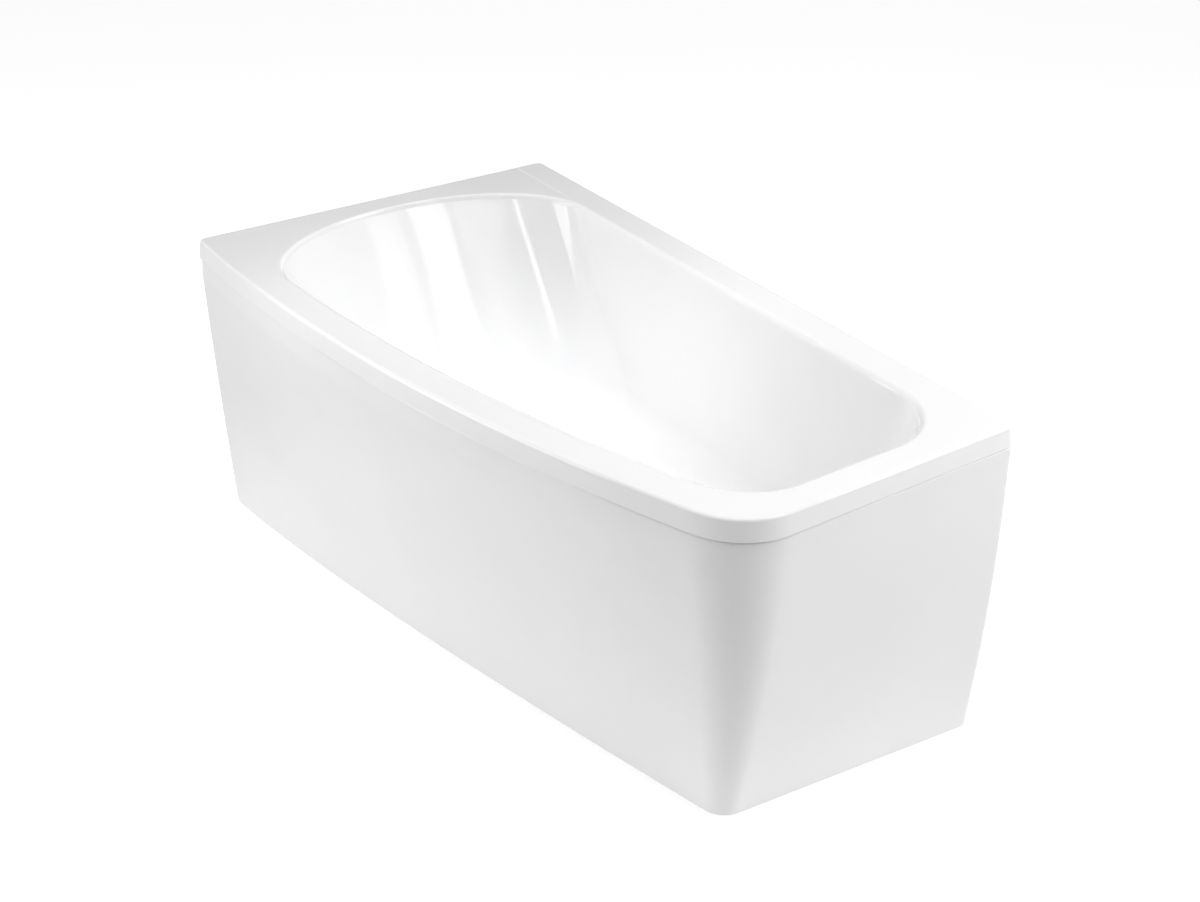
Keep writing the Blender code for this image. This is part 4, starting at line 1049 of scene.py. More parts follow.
@dataclass
class Apron:
    """One moulded panel over the bowed front and the foot end, tucked under the lip.

    Args:
        plan: Outlines and sizes of the rim.
    """

    plan: Plan
    wall: float = 0.004
    gap: float = 0.003
    lift: float = 0.003
    shoulder: float = 0.036
    tuck: tuple[float, float] = (0.004, 0.002)
    full: tuple[float, float] = (0.001, 0.002)
    taper: float = 1.6
    foot_inset: float = 0.013
    foot_sweep: float = 0.329
    foot_power: float = 1.28
    end_inset: float = 0.016
    end_slope: float = 0.109
    barrel: float = 0.006
    floor_corner: float = 0.036
    head_corner: float = 0.024
    wall_corner: float = 0.014
    turned_in: float = 0.045
    top_flange: float = 0.022
    bottom_flange: float = 0.020
    edge: float = 0.003
    strap_screws: tuple[str, ...] = ("head_apron_screw", "foot_apron_screw")

    @property
    def top(self) -> float:
        """Level of the panel's upper edge."""
        return self.plan.lip_z - self.gap

    def face_y(self, x: float, inset: float, weight: float) -> float:
        """The front face: the rim's bow at weight 0, the floor's at weight 1."""
        along = max((x + self.plan.length / 2) / self.plan.length, 0)
        floor = -self.plan.width / 2 + self.foot_inset + self.foot_sweep * along ** self.foot_power
        return (1 - weight) * self.plan.front_y(x, 0) + weight * floor + inset * 1.04

    def face_x(self, y: float, inset: float, weight: float, barrel: float) -> float:
        """The foot end face."""
        away = self.plan.width / 2 - y
        return self.plan.length / 2 - inset - weight * (self.end_inset + self.end_slope * away) + barrel

    def path(self, depth: float, front: float, end: float, extra: float = 0.0) -> Ring:
        """Plan line of the panel, from its return on the head wall round to the one on the rear wall.

        Args:
            depth: 0 at the shoulder, 1 at the floor.
            front: Inset of the front face.
            end: Inset of the foot end face.
            extra: Further inset of the whole line.

        Returns:
            Points of the line.
        """
        plan = self.plan
        weight = depth ** self.taper
        front, end = front + extra, end + extra
        barrel = self.barrel * sin(pi * depth)
        x_head, y_rear = -plan.length / 2 + extra, plan.width / 2 - extra
        head_cut = max(self.head_corner - extra, 0.002)
        wall_cut = max(self.wall_corner - extra, 0.002)
        large = plan.front_corner + (self.floor_corner - plan.front_corner) * depth - 0.5 * extra
        step = 0.001
        turned_y = -plan.width / 2 + self.turned_in
        near_bend = Vector((x_head, self.face_y(x_head, front, weight)))
        near = Vector((x_head + head_cut, self.face_y(x_head + head_cut, front, weight)))
        leave = near_bend + Vector((0, head_cut))
        points = [Vector((x_head, turned_y)).lerp(leave, share / 3) for share in range(3)]
        points += plan.corner(leave, near_bend, near, plan.steps_corner // 2)
        bend_y = self.face_y(plan.length / 2, front, weight)
        for _ in range(8):
            bend_y = self.face_y(self.face_x(bend_y, end, weight, barrel), front, weight)
        far_bend = Vector((self.face_x(bend_y, end, weight, barrel), bend_y))
        far = Vector((far_bend.x - large, self.face_y(far_bend.x - large, front, weight)))
        slope = (self.face_y(far.x + step, front, weight) - far.y) / step
        low_y = far_bend.y + large
        low = Vector((self.face_x(low_y, end, weight, barrel), low_y))
        end_slope = (self.face_x(low.y - step, end, weight, barrel) - low.x) / step
        meet_y = (far.y + slope * (low.x + end_slope * low.y - far.x)) / (1 + slope * end_slope)
        meet = Vector((low.x + end_slope * (low.y - meet_y), meet_y))
        for index in range(plan.steps_front):
            x = near.x + (far.x - near.x) * index / plan.steps_front
            points.append(Vector((x, self.face_y(x, front, weight))))
        points += plan.corner(far, meet, low, plan.steps_corner * 2)
        high_y = y_rear - wall_cut
        high = Vector((self.face_x(high_y, end, weight, barrel), high_y))
        for index in range(plan.steps_foot):
            y = low.y + (high.y - low.y) * index / plan.steps_foot
            points.append(Vector((self.face_x(y, end, weight, barrel), y)))
        wall_bend = Vector((self.face_x(y_rear, end, weight, barrel), y_rear))
        arrive = wall_bend - Vector((wall_cut, 0))
        points += plan.corner(high, wall_bend, arrive, plan.steps_corner // 2)
        last = Vector((plan.length / 2 - self.turned_in, y_rear))
        points += [arrive.lerp(last, share / 3) for share in range(4)]
        return points

    def flare(self, drop: float) -> float:
        """Share of the tuck that is left this far below the upper edge, with a soft bend at the shoulder."""
        along = drop / self.shoulder
        if along >= 1.25:
            return 0.0
        return 1 - along if along <= 0.75 else (1.25 - along) ** 2

    def rings(self) -> list[Ring]:
        """Rings from the lower flange's inner edge up over the face to the upper flange's."""
        height = self.top - self.lift
        drops = [self.edge + (1.3 * self.shoulder - self.edge) * step / 14 for step in range(15)]
        tall = height - self.edge - drops[-1]
        drops += [drops[-1] + tall * step / 30 for step in range(1, 31)]
        rings = [self.level(0, extra, 0) for extra in (self.top_flange, self.top_flange * 0.5, self.edge)]
        rings += [self.level(self.edge * (1 - sin(turn)), self.edge * (1 - cos(turn)), 0)
                  for turn in (radians(60), radians(30))]
        rings += [self.level(drop, 0, 0) for drop in drops]
        rings += [self.level(height - self.edge * (1 - sin(turn)), self.edge * (1 - cos(turn)), 1)
                  for turn in (radians(30), radians(60))]
        rings += [self.level(height, extra, 1)
                  for extra in (self.edge, self.bottom_flange * 0.5, self.bottom_flange)]
        return list(reversed(rings))

    def level(self, drop: float, extra: float, lowest: int) -> Ring:
        """The panel's line at a drop below its upper edge; lowest is 1 on the flange at the floor."""
        z = self.top - drop
        start = self.top - self.shoulder
        depth = min(max((start - z) / (start - self.lift), 0.0), 1.0) if not lowest else 1.0
        left = self.flare(drop)
        front = self.full[0] + (self.tuck[0] - self.full[0]) * left
        end = self.full[1] + (self.tuck[1] - self.full[1]) * left
        return at_height(self.path(depth, front, end, extra), z)

    def build(self) -> None:
        """Make the panel and drill its lower flange for the two screws."""
        item = skin("apron_moulding", self.rings(), False)
        thickened(item, self.wall)
        drills = []
        for node in self.strap_screws:
            place = upright(node)
            profile = [(0, 0.002), (0.0024, 0.002), (0.0024, 0.02), (0, 0.02)]
            drills.append(lathe(f"{node}_drill", profile, place, 24, closed=False))
            combine(item, drills[-1], "DIFFERENCE")
        settle(evaluated(item, *drills), WHITE_ACRYLIC, "apron_panel")


# ------------------------------------------------------------------- the studio

@dataclass(frozen=True)
class SoftBox:
    """A rectangular soft light.

    Args:
        name: Name of the lamp.
        place: Where it stands.
        aim: The point that it looks at.
        size: Width and height.
        power: Watts.
        spread: How far the light fans out, in degrees; a narrow one has a grid in front.
    """

    name: str
    place: tuple[float, float, float]
    aim: tuple[float, float, float]
    size: tuple[float, float]
    power: float
    spread: float = 180.0

    def build(self) -> None:
        """Hang the light."""
        data = bpy.data.lights.new(self.name, "AREA")
        data.shape = "RECTANGLE"
        data.size, data.size_y = self.size
        data.energy = self.power
        data.spread = radians(self.spread)
        item = bpy.data.objects.new(self.name, data)
        item.location = self.place
        item.rotation_euler = (Vector(self.aim) - Vector(self.place)).to_track_quat("-Z", "Y").to_euler()
        bpy.context.scene.collection.objects.link(item)


@dataclass
class Studio:
    """Camera, pale floor and soft light round the bath.

    Args:
        eye: Where the camera stands.
        azimuth: Turn of the camera in degrees, 0 along +Y.
        pitch: Downward tilt of the camera in degrees.
        lens: Focal length in millimetres, on a 36 mm sensor.
        rise: Vertical shift of the lens.
        floor_radius: Radius of the floor.
        floor_rings: Radii of its inner rings.
        sky: Brightness of the surroundings.
        lift: Brightness that the floor adds of its own.
        near_floor: Share of that added brightness close to the bath, a painted glow that lights the bath.
        glow_fade: Distances between which the share fades to nothing.
        open_side: How much darker the room is low down towards open_cone.
        open_cone: Direction, outer and inner angle in degrees.
        low_band: Elevations in degrees between which the darkening fades.
        far_side: How much darker it is towards far_cone.
        far_cone: Direction, outer and inner angle in degrees.
        boxes: The lamps.
    """

    eye: tuple[float, float, float] = (2.1924, -1.3537, 1.9088)
    azimuth: float = 56.52
    pitch: float = 27.716
    lens: float = 46.03
    rise: float = -0.0717
    floor_radius: float = 9.0
    floor_rings: tuple[float, float] = (3.0, 1.5)
    sky: float = 0.76
    lift: float = 0.50
    near_floor: float = 0.62
    glow_fade: tuple[float, float] = (0.75, 1.35)
    open_side: float = 0.98
    open_cone: tuple[tuple[float, float, float], float, float] = ((0.78, -0.62, 0.0), 84, 52)
    low_band: tuple[float, float] = (30, 54)
    far_side: float = 0.95
    far_cone: tuple[tuple[float, float, float], float, float] = ((-0.93, 0.25, 0.27), 27, 15)
    boxes: tuple[SoftBox, ...] = (
        SoftBox("overhead", (0.5, -0.5, 3.0), (-0.1, 0.1, 0.3), (2.4, 2.0), 13.0),
        SoftBox("front_side", (-1.7, -4.1, 1.4), (-0.1, -0.2, 0.35), (2.4, 2.2), 55.0),
        SoftBox("foot_side", (3.4, 3.2, 1.4), (0.6, 0.1, 0.35), (2.0, 2.2), 58.0),
        SoftBox("tall_window", (1.70, 0.72, 2.40), (-0.5, 0.10, 0.42), (0.72, 1.4), 8.0),
        SoftBox("side_window", (1.62, 1.72, 2.40), (-0.6, 0.0, 0.5), (0.60, 1.3), 3.2),
        SoftBox("narrow_window", (1.30, -1.93, 2.60), (-0.53, 0.27, 0.55), (0.20, 0.8), 2.0),
        SoftBox("basin_grid", (-0.02, 0.05, 2.60), (-0.02, 0.05, 0.23), (0.70, 0.14), 0.09, 12.0),
        SoftBox("slanted_grid", (0.9, -1.7, 2.70), (-0.22, 0.14, 0.40), (0.9, 0.25), 0.36, 14.0),
    )

    def camera(self) -> None:
        """Set up the camera."""
        data = bpy.data.cameras.new("camera")
        data.lens = self.lens
        data.sensor_width = 36.0
        data.shift_y = self.rise
        item = bpy.data.objects.new("camera", data)
        item.location = self.eye
        item.rotation_euler = (radians(90 - self.pitch), 0, radians(self.azimuth))
        bpy.context.scene.collection.objects.link(item)
        bpy.context.scene.camera = item

    def room(self) -> None:
        """White surroundings, nearly black towards the open side and in one spot at the far side."""
        scene = bpy.context.scene
        scene.view_settings.view_transform = "Standard"
        scene.world = bpy.data.worlds.new("room")
        scene.world.use_nodes = True
        bench = Bench(scene.world.node_tree)
        where = bench.node("ShaderNodeTexCoord", output="Generated")

        def spot(toward: tuple[float, float, float], outer: float, inner: float) -> Wire:
            """1 in a cone round a direction, 0 outside a wider one."""
            aim = Vector(toward).normalized()
            facing = bench.node("ShaderNodeVectorMath", {"operation": "DOT_PRODUCT"},
                                {0: where, 1: aim}, "Value")
            return bench.remap(facing, cos(radians(outer)), cos(radians(inner)))

        height = bench.node("ShaderNodeSeparateXYZ", None, {0: where}, "Z")
        low_down = 1 - bench.remap(height, *(sin(radians(angle)) for angle in self.low_band))
        open_side = 1 - self.open_side * low_down * spot(*self.open_cone)
        far_side = 1 - self.far_side * spot(*self.far_cone)
        background = scene.world.node_tree.nodes["Background"]
        bench.feed(background.inputs["Strength"], self.sky * open_side * far_side)
        bench.feed(background.inputs["Color"], (1.0, 1.0, 1.0, 1.0))

    def floor(self) -> None:
        """A wide pale disc that glows: evenly white to the camera, with a painted glow near the bath that lights
        the bath in place of bounce light.
        """
        sides = 96
        rings = [[Vector((r * cos(2 * pi * s / sides), r * sin(2 * pi * s / sides), 0)) for s in range(sides)]
                 for r in (self.floor_radius, *self.floor_rings)]
        item = skin("studio_floor", rings, True, True)
        made = bpy.data.materials.new("pale_floor")
        made.use_nodes = True
        bench = Bench(made.node_tree)
        shader = made.node_tree.nodes["Principled BSDF"]
        cloud = bench.noise(0.8, 2.0)
        bench.feed(shader.inputs["Base Color"], bench.blend(cloud, (0.71, 0.71, 0.71), (0.69, 0.69, 0.695)))
        shader.inputs["Roughness"].default_value = 0.9
        away = bench.node("ShaderNodeVectorMath", {"operation": "LENGTH"},
                          {0: bench.node("ShaderNodeTexCoord", output="Object")}, "Value")
        # painted glow: near the bath the floor glows onto the bath as bounce light would, fading to nothing away
        # from the middle; the camera sees the floor evenly white
        glow_near_bath = bench.blend(bench.remap(away, *self.glow_fade), (self.near_floor,) * 3, (0.0, 0.0, 0.0))
        seen = bench.node("ShaderNodeLightPath", output="Is Camera Ray")
        bench.feed(shader.inputs["Emission Color"], bench.blend(seen, glow_near_bath, (1.0, 1.0, 1.0)))
        shader.inputs["Emission Strength"].default_value = self.lift
        item.data.materials.append(made)

    def build(self) -> None:
        """Set up the camera first, then everything else."""
        self.camera()
        self.room()
        self.floor()
        for box in self.boxes:
            box.build()


# --------------------------------------------------------------- the leg frame

@dataclass
class LegFrame:
    """Steel tubes and channels under the board, with their posts, straps, clips and brackets.

    Args:
        plan: Outlines and sizes of the rim; not used.
        easing: Rounding of a folded or drawn edge.
        bead: Half width of a weld.
    """

    plan: Plan
    easing: float = 0.0011
    bead: float = 0.0028

    def tubes(self) -> None:
        """Rails, channels and posts."""
        for node, name in (("front_rail", "front_tube"), ("rear_rail", "rear_tube"),
                           ("head_channel", "head_cross"), ("foot_channel", "foot_cross"),
                           ("head_post", "head_upright"), ("foot_post", "foot_upright")):
            settle(softened(node, name, self.easing), ZINC, node)

    def small_steel(self) -> None:
        """Straps to the apron, clips under the rim and brackets to the wall."""
        for node, name in (("head_apron_strut", "head_strap"), ("foot_apron_strut", "foot_strap"),
                           ("head_wall_bracket", "head_angle"), ("foot_wall_bracket", "foot_angle"),
                           ("rim_clip_1", "clip_head"), ("rim_clip_2", "clip_middle"),
                           ("rim_clip_3", "clip_foot")):
            settle(softened(node, name, self.easing * 0.6), ZINC, node)

    def screw(self, node: str, name: str, profile: Profile, recess_z: float, upward: bool) -> None:
        """A turned screw with a cross recess in its head.

        Args:
            node: The screw of the frame.
            name: Name of the piece.
            profile: Its profile, relative to the lower end of the node.
            recess_z: Level of the head's face, on the same scale.
            upward: Whether the head faces up.
        """
        low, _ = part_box(node)
        place = upright(node) @ Matrix.Translation((0, 0, low.z))
        item = lathe(name, profile, place, 36, closed=False)
        depth = 0.0011
        base = recess_z - depth if upward else recess_z - 0.001
        tools = []
        for turn in (radians(45), radians(135)):
            span = Matrix.Diagonal((0.0038, 0.0008, depth + 0.001, 1.0))
            where = place @ Matrix.Translation((0, 0, base)) @ Matrix.Rotation(turn, 4, "Z") @ span
            corners = [where @ Vector((x, y, z)) for z in (0, 1) for x, y in
                       ((-0.5, -0.5), (0.5, -0.5), (0.5, 0.5), (-0.5, 0.5))]
            sides = [(0, 1, 2, 3), (4, 5, 6, 7), (0, 1, 5, 4), (1, 2, 6, 5), (2, 3, 7, 6), (3, 0, 4, 7)]
            tools.append(mesh_object(f"{name}_recess", corners, sides))
            combine(item, tools[-1], "DIFFERENCE")
        settle(evaluated(item, *tools), ZINC_BRIGHT, node)

    def screws(self) -> None:
        """Screws of the straps and of the wall brackets."""
        for end in ("head", "foot"):
            low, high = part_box(f"{end}_apron_screw")
            tall = high.z - low.z
            neck = tall - 0.003
            shaft = threaded(0.0018, 0.0008, 0.0, neck - 0.0006)
            dome = [(0.0018, neck), (0.0040, neck), (0.0042, neck + 0.0006), (0.0041, neck + 0.0016),
                    (0.0034, neck + 0.0025), (0.0022, tall), (0, tall)]
            self.screw(f"{end}_apron_screw", f"{end}_strap_screw", [(0, 0), *shaft, *dome], tall, True)
            low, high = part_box(f"{end}_bracket_screw")
            tall = high.z - low.z
            shaft = threaded(0.0020, 0.0012, 0.0050, tall - 0.0022)
            head = [(0, 0), (0.0022, 0), (0.0034, 0.0005), (0.0044, 0.0014), (0.0050, 0.0024),
                    (0.0050, 0.0030), (0.0020, 0.0031)]
            self.screw(f"{end}_bracket_screw", f"{end}_angle_screw", [*head, *shaft, (0, tall)], 0.0, False)

    def welds(self) -> None:
        """Weld beads where each rail crosses each channel."""
        for rail in ("front_rail", "rear_rail"):
            for cross in ("head_channel", "foot_channel"):
                self.weld(rail, cross)

    def weld(self, rail: str, cross: str) -> None:
        """Two rippled beads in the corners between a rail's sides and the channel under it."""
        low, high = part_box(rail)
        channel_low, channel_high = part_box(cross)
        middle_x = (channel_low.x + channel_high.x) / 2
        size = high.z - low.z
        ends = [vert.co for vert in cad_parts[rail].data.vertices]
        near = [point for point in ends if point.x < (low.x + high.x) / 2]
        far = [point for point in ends if point.x >= (low.x + high.x) / 2]
        near_middle = sum(near, Vector()) / len(near)
        far_middle = sum(far, Vector()) / len(far)
        slope = (far_middle.y - near_middle.y) / (far_middle.x - near_middle.x)
        level_y = near_middle.y + slope * (middle_x - near_middle.x)
        heading = Matrix.Rotation(atan(slope), 4, "Z")
        for side, label in ((-1, "a"), (1, "b")):
            start = Matrix.Translation((middle_x, level_y, low.z)) @ heading
            rings = []
            half = (channel_high.x - channel_low.x) / 2 - 0.003
            count = 44
            for index in range(count + 1):
                along = -half + 2 * half * index / count
                swell = self.bead * (0.86 + 0.14 * abs(sin(index * pi / 4))) * min(1.0, 0.35 + index / 4,
                                                                                  0.35 + (count - index) / 4)
                ring = []
                for step in range(9):
                    turn = pi / 2 * step / 8
                    out = side * (size / 2 + GAP + swell * cos(turn))
                    ring.append(start @ Vector((along, out, GAP + swell * sin(turn))))
                ring.append(start @ Vector((along, side * (size / 2 + GAP), GAP)))
                rings.append(ring)
            points = [point for ring in rings for point in ring]
            faces = ring_faces(len(rings), 10, True)
            faces += [tuple(range(10)), tuple(range(len(points) - 10, len(points)))]
            name = f"weld_{rail.split('_')[0]}_{cross.split('_')[0]}_{label}"
            settle(mesh_object(name, points, faces), ZINC)

    def build(self) -> None:
        """Make the frame."""
        self.tubes()
        self.small_steel()
        self.screws()
        self.welds()


def threaded(core: float, pitch: float, low: float, high: float) -> Profile:
    """Profile of a thread as closely set ridges.

    Args:
        core: Radius at the foot of the thread.
        pitch: Distance between crests.
        low: Where it starts.
        high: Where it ends.

    Returns:
        Points of (radius, height), from low to high.
    """
    count = max(int((high - low) / pitch), 1)
    step = (high - low) / count
    crest = core * 1.17
    points: Profile = [(core, low)]
    for index in range(count):
        base = low + index * step
        points += [(core, base + step * 0.1), (crest, base + step * 0.45),
                   (crest, base + step * 0.55), (core, base + step * 0.9)]
    points.append((core, high))
    return points


@dataclass
class LevellingFoot:
    """A screw foot: pad and stud ride together, two nuts stay on the channel.

    Args:
        number: 1 to 4.
        crest: Radius over the thread.
        pitch: Rise of one turn.
        depth: Depth of the thread.
    """

    number: int
    crest: float = 0.005
    pitch: float = 0.0015
    depth: float = 0.0008

    def stud(self, place: Matrix) -> None:
        """Threaded stud with a true helix and a chamfered top."""
        low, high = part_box(f"foot_stud_{self.number}")
        sides, per_turn = 20, 5
        step = self.pitch / per_turn
        count = int((high.z - low.z) / step)
        points = []
        for row in range(count + 1):
            z = low.z + (high.z - low.z) * row / count
            ease = min(1.0, (high.z - z) / 0.0015, (z - low.z) / 0.0015)
            for side in range(sides):
                turn = 2 * pi * side / sides
                phase = (z / self.pitch - side / sides) % 1.0
                valley = abs(phase - 0.5) * 2
                radius = self.crest - self.depth * valley - (1 - ease) * 0.0010
                points.append(place @ Vector((radius * cos(turn), radius * sin(turn), z)))
        faces = ring_faces(count + 1, sides, True)
        faces += [tuple(range(sides)), tuple(range(len(points) - sides, len(points)))]
        settle(mesh_object(f"screw_stud_{self.number}", points, faces, 60.0), ZINC_BRIGHT,
               f"foot_stud_{self.number}", body=f"levelling_foot_{self.number}")

    def pad(self, place: Matrix) -> None:
        """Moulded pad with a grooved skirt, a hexagonal boss and a blind hole for the stud."""
        low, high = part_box(f"foot_pad_{self.number}")
        radius, tall = (high.x - low.x) / 2, high.z - low.z
        hole, seat = self.crest + GAP, 0.004
        outer = [(0, 0), (radius - 0.006, 0), (radius - 0.006, 0.0006), (radius - 0.003, 0.0006),
                 (radius - 0.003, 0), (radius - 0.0006, 0), (radius, 0.0006), (radius, 0.0036),
                 (radius - 0.0006, 0.0042), (radius - 0.004, 0.0048), (radius - 0.0055, 0.0043),
                 (radius - 0.007, 0.0056), (hole + 0.0075, tall - 0.0055), (hole + 0.0055, tall - 0.0045)]
        top = [(hole + 0.0050, tall - 0.0010), (hole + 0.0042, tall), (hole + 0.0006, tall),
               (hole, tall - 0.0008), (hole, seat), (0, seat)]
        settle(lathe(f"foot_disc_{self.number}", [*outer, *top], place, 80, closed=False), BLACK_PLASTIC,
               f"foot_pad_{self.number}", body=f"levelling_foot_{self.number}")

    def nut(self, place: Matrix, node: str, name: str) -> None:
        """Hexagonal nut with both faces chamfered to a circle and a countersunk hole."""
        low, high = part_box(node)
        radius, tall = (high.x - low.x) / 2, high.z - low.z
        flat = radius * cos(pi / 6)
        hole = self.crest + GAP
        sides = 72
        rows: list[list[tuple[float, float]]] = []
        for side in range(sides):
            turn = 2 * pi * side / sides
            folded = (turn + pi / 6) % (pi / 3) - pi / 6
            edge = flat / cos(pi / 6 - abs(folded))
            lower = max(edge - flat * 0.97, 0.0) * tan(radians(30))
            rows.append([(hole, 0.0008), (hole + 0.0008, 0.0), (flat * 0.97, 0.0), (edge, lower),
                         (edge, tall - lower), (flat * 0.97, tall), (hole + 0.0008, tall),
                         (hole, tall - 0.0008)])
        points = []
        for part in range(8):
            for side in range(sides):
                turn = 2 * pi * side / sides
                reach, z = rows[side][part]
                points.append(place @ Vector((reach * cos(turn), reach * sin(turn), low.z + z)))
        settle(mesh_object(name, points, ring_faces(8, sides, True, True), 30.0), ZINC_BRIGHT, node)

    def build(self) -> None:
        """Make the foot."""
        place = upright(f"foot_pad_{self.number}")
        self.stud(place)
        self.pad(place)
        self.nut(place, f"lock_nut_{self.number}", f"channel_nut_under_{self.number}")
        self.nut(place, f"top_nut_{self.number}", f"channel_nut_over_{self.number}")


# --------------------------------------------------------- waste and overflow

@dataclass
class Drain:
    """Drain flange, gasket, body, pop-up plug, trap and the pipe to the wall.

    Args:
        plan: Outlines and sizes of the basin.
    """

    plan: Plan
    throat: float = 0.0225
    throat_wall: float = 0.0025
    flange: float = 0.035
    body: float = 0.028
    body_wall: float = 0.003
    body_height: float = 0.060
    gasket: float = 0.003
    pipe: float = 0.020
    pipe_wall: float = 0.003
    hose: float = 0.014
    inlet_reach: float = 0.026
    outlet_reach: float = 0.030
    trap: float = 0.045
    trap_height: float = 0.066
    trap_shoulder: float = 0.018
    plug: float = 0.031

    @property
    def axis(self) -> Matrix:
        """Vertical axis of the waste, from floor height."""
        where = self.plan.waste()
        return Matrix.Translation((where.x, where.y, 0))

    @property
    def under(self) -> float:
        """Level of the gasket's lower face."""
        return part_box("drain_gasket")[0].z

    @property
    def inlet_z(self) -> float:
        """Level of the body's side inlet."""
        return self.under - GAP - self.body_height / 2

    def make_flange(self) -> None:
        """Chromed flange with a rolled edge, a dished seat and a threaded throat."""
        low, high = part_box("drain_flange")
        seat = self.plan.floor_z + GAP
        inner = self.throat - self.throat_wall
        tip = high.z
        profile = [(inner, low.z), (self.throat - 0.0004, low.z)]
        profile += [(self.throat - 0.0004 + (0.0004 if index % 2 else 0.0), low.z + 0.001 + 0.001 * index)
                    for index in range(int((seat - low.z) / 0.001) - 2)]
        profile += [(self.throat, seat - 0.0006), (self.throat, seat), (self.flange - 0.0006, seat),
                    (self.flange, seat + 0.0005), (self.flange - 0.0002, seat + 0.0011),
                    (self.flange - 0.0016, tip - 0.0006), (self.flange - 0.0034, tip - 0.0001),
                    (self.flange - 0.0050, tip), (inner + 0.0055, tip), (inner + 0.0040, tip - 0.0004),
                    (inner + 0.0012, tip - 0.0022), (inner, seat - 0.0006)]
        settle(lathe("waste_flange", profile, self.axis, 96), CHROME, "drain_flange")

    def make_gasket(self) -> None:
        """Rubber washer with two sealing ridges."""
        low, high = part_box("drain_gasket")
        inner, outer, middle = self.throat + GAP, self.flange, (low.z + high.z) / 2
        span = outer - inner
        profile = [(inner, low.z + 0.0005), (inner + 0.0005, low.z), (inner + span * 0.3, low.z),
                   (inner + span * 0.35, low.z + 0.0004), (inner + span * 0.6, low.z + 0.0004),
                   (inner + span * 0.65, low.z), (outer - 0.0006, low.z), (outer, low.z + 0.0006),
                   (outer - 0.0004, middle), (outer, high.z - 0.0006), (outer - 0.0006, high.z),
                   (inner + 0.0005, high.z), (inner, high.z - 0.0005)]
        settle(lathe("waste_washer", profile, self.axis, 72), BLACK_RUBBER, "drain_gasket")

    def make_body(self) -> None:
        """Moulded body with a ribbed collar and a side inlet."""
        top = self.under - GAP
        low = top - self.body_height
        inner = self.body - self.body_wall
        profile = [(self.throat + GAP, top), (self.flange, top), (self.flange, top - 0.0032),
                   (self.body + 0.0006, top - 0.0046), (self.body, top - 0.0066), (self.body, low + 0.016),
                   (self.body - 0.002, low + 0.0115), (self.pipe + 0.0016, low + 0.0065),
                   (self.pipe, low + 0.004), (self.pipe, low - 0.020), (self.pipe - self.pipe_wall, low - 0.020),
                   (self.pipe - self.pipe_wall, low + 0.008), (inner, low + 0.014), (inner, top - 0.006),
                   (self.throat + GAP, top - 0.006)]
        item = lathe("waste_body", eased(profile, 0.0007), self.axis, 72)
        side = Matrix.Translation((0, 0, self.inlet_z)) @ Matrix.Rotation(pi / 2, 4, "Y")
        reach = (inner + 0.001, self.body + self.inlet_reach)
        inlet = pipe_joint(item, self.hose - 0.0006, self.hose - 0.003, reach, self.axis @ side)
        settle(inlet, WHITE_PLASTIC, "drain_body")

    def make_plug(self) -> None:
        """Domed chrome cap over a seal, on a turned stem."""
        low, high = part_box("plug_cap")
        base, tip = low.z, high.z
        rise = tip - base
        cap = [(0, base + 0.0006), (self.plug * 0.72, base + 0.0006), (self.plug * 0.76, base),
               (self.plug - 0.0012, base), (self.plug - 0.0003, base + 0.0005), (self.plug, base + 0.0014)]
        cap += [(self.plug * sqrt(max(1 - (share ** 2), 0)) * 0.998, base + 0.0014 + (rise - 0.0014) * share)
                for share in (0.1, 0.22, 0.36, 0.5, 0.64, 0.76, 0.86, 0.93, 0.97, 0.99)]
        settle(lathe("plug_dome", [*cap, (0, tip)], self.axis, 96, closed=False), CHROME, "plug_cap",
               body="pop_up_plug")
        low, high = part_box("plug_seal")
        ring = [(0.0215, low.z), (0.0252, low.z), (0.0255, low.z + 0.0005), (0.0250, (low.z + high.z) / 2),
                (0.0255, high.z - 0.0004), (0.0252, high.z), (0.0215, high.z)]
        settle(lathe("plug_washer", ring, self.axis, 72), BLACK_RUBBER, "plug_seal", body="pop_up_plug")
        low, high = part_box("plug_stem")
        stem = [(0, low.z), (0.0028, low.z), (0.0040, low.z + 0.0012), (0.0040, low.z + 0.008),
                (0.0034, low.z + 0.009), (0.0034, low.z + 0.011), (0.0040, low.z + 0.012), (0.0040, high.z),
                (0, high.z)]
        settle(lathe("plug_spindle", stem, self.axis, 40, closed=False), ZINC_BRIGHT, "plug_stem",
               body="pop_up_plug")

    def make_trap(self) -> None:
        """Trap with its cup, union nuts and the pipe to the wall."""
        _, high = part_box("trap_body")
        top = high.z
        low = top - self.trap_height
        shoulder = top - self.trap_shoulder
        inner = self.trap - self.pipe_wall
        throat = self.pipe - self.pipe_wall
        profile = [(throat, top), (self.pipe, top), (self.pipe, top - 0.0135),
                   (self.pipe + 0.003, top - 0.0142), (self.trap - 0.007, shoulder + 0.0016),
                   (self.trap - 0.002, shoulder), (self.trap, shoulder - 0.003), (self.trap, low + 0.0045),
                   (self.trap - 0.0008, low + 0.004), (self.trap - 0.0008, low), (inner, low),
                   (inner, shoulder - self.pipe_wall), (throat, shoulder - self.pipe_wall)]
        item = lathe("trap_bottle", eased(profile, 0.0008), self.axis, 96)
        outlet_z = (low + top - self.trap_shoulder) / 2
        side = Matrix.Translation((0, 0, outlet_z)) @ Matrix.Rotation(-pi / 2, 4, "X")
        reach = (inner + 0.001, self.trap + self.outlet_reach)
        bottle = pipe_joint(item, self.pipe - 0.0006, throat, reach, self.axis @ side)
        settle(bottle, WHITE_PLASTIC, "trap_body")
        self.make_cup(low)
        start = self.trap + self.outlet_reach
        end = self.plan.width / 2 - self.plan.waste().y
        wall = [(throat, start + GAP), (self.pipe, start + GAP), (self.pipe, end), (throat, end)]
        settle(lathe("wall_pipe", eased(wall, 0.0006), self.axis @ side, 72), WHITE_PLASTIC, "outlet_pipe")
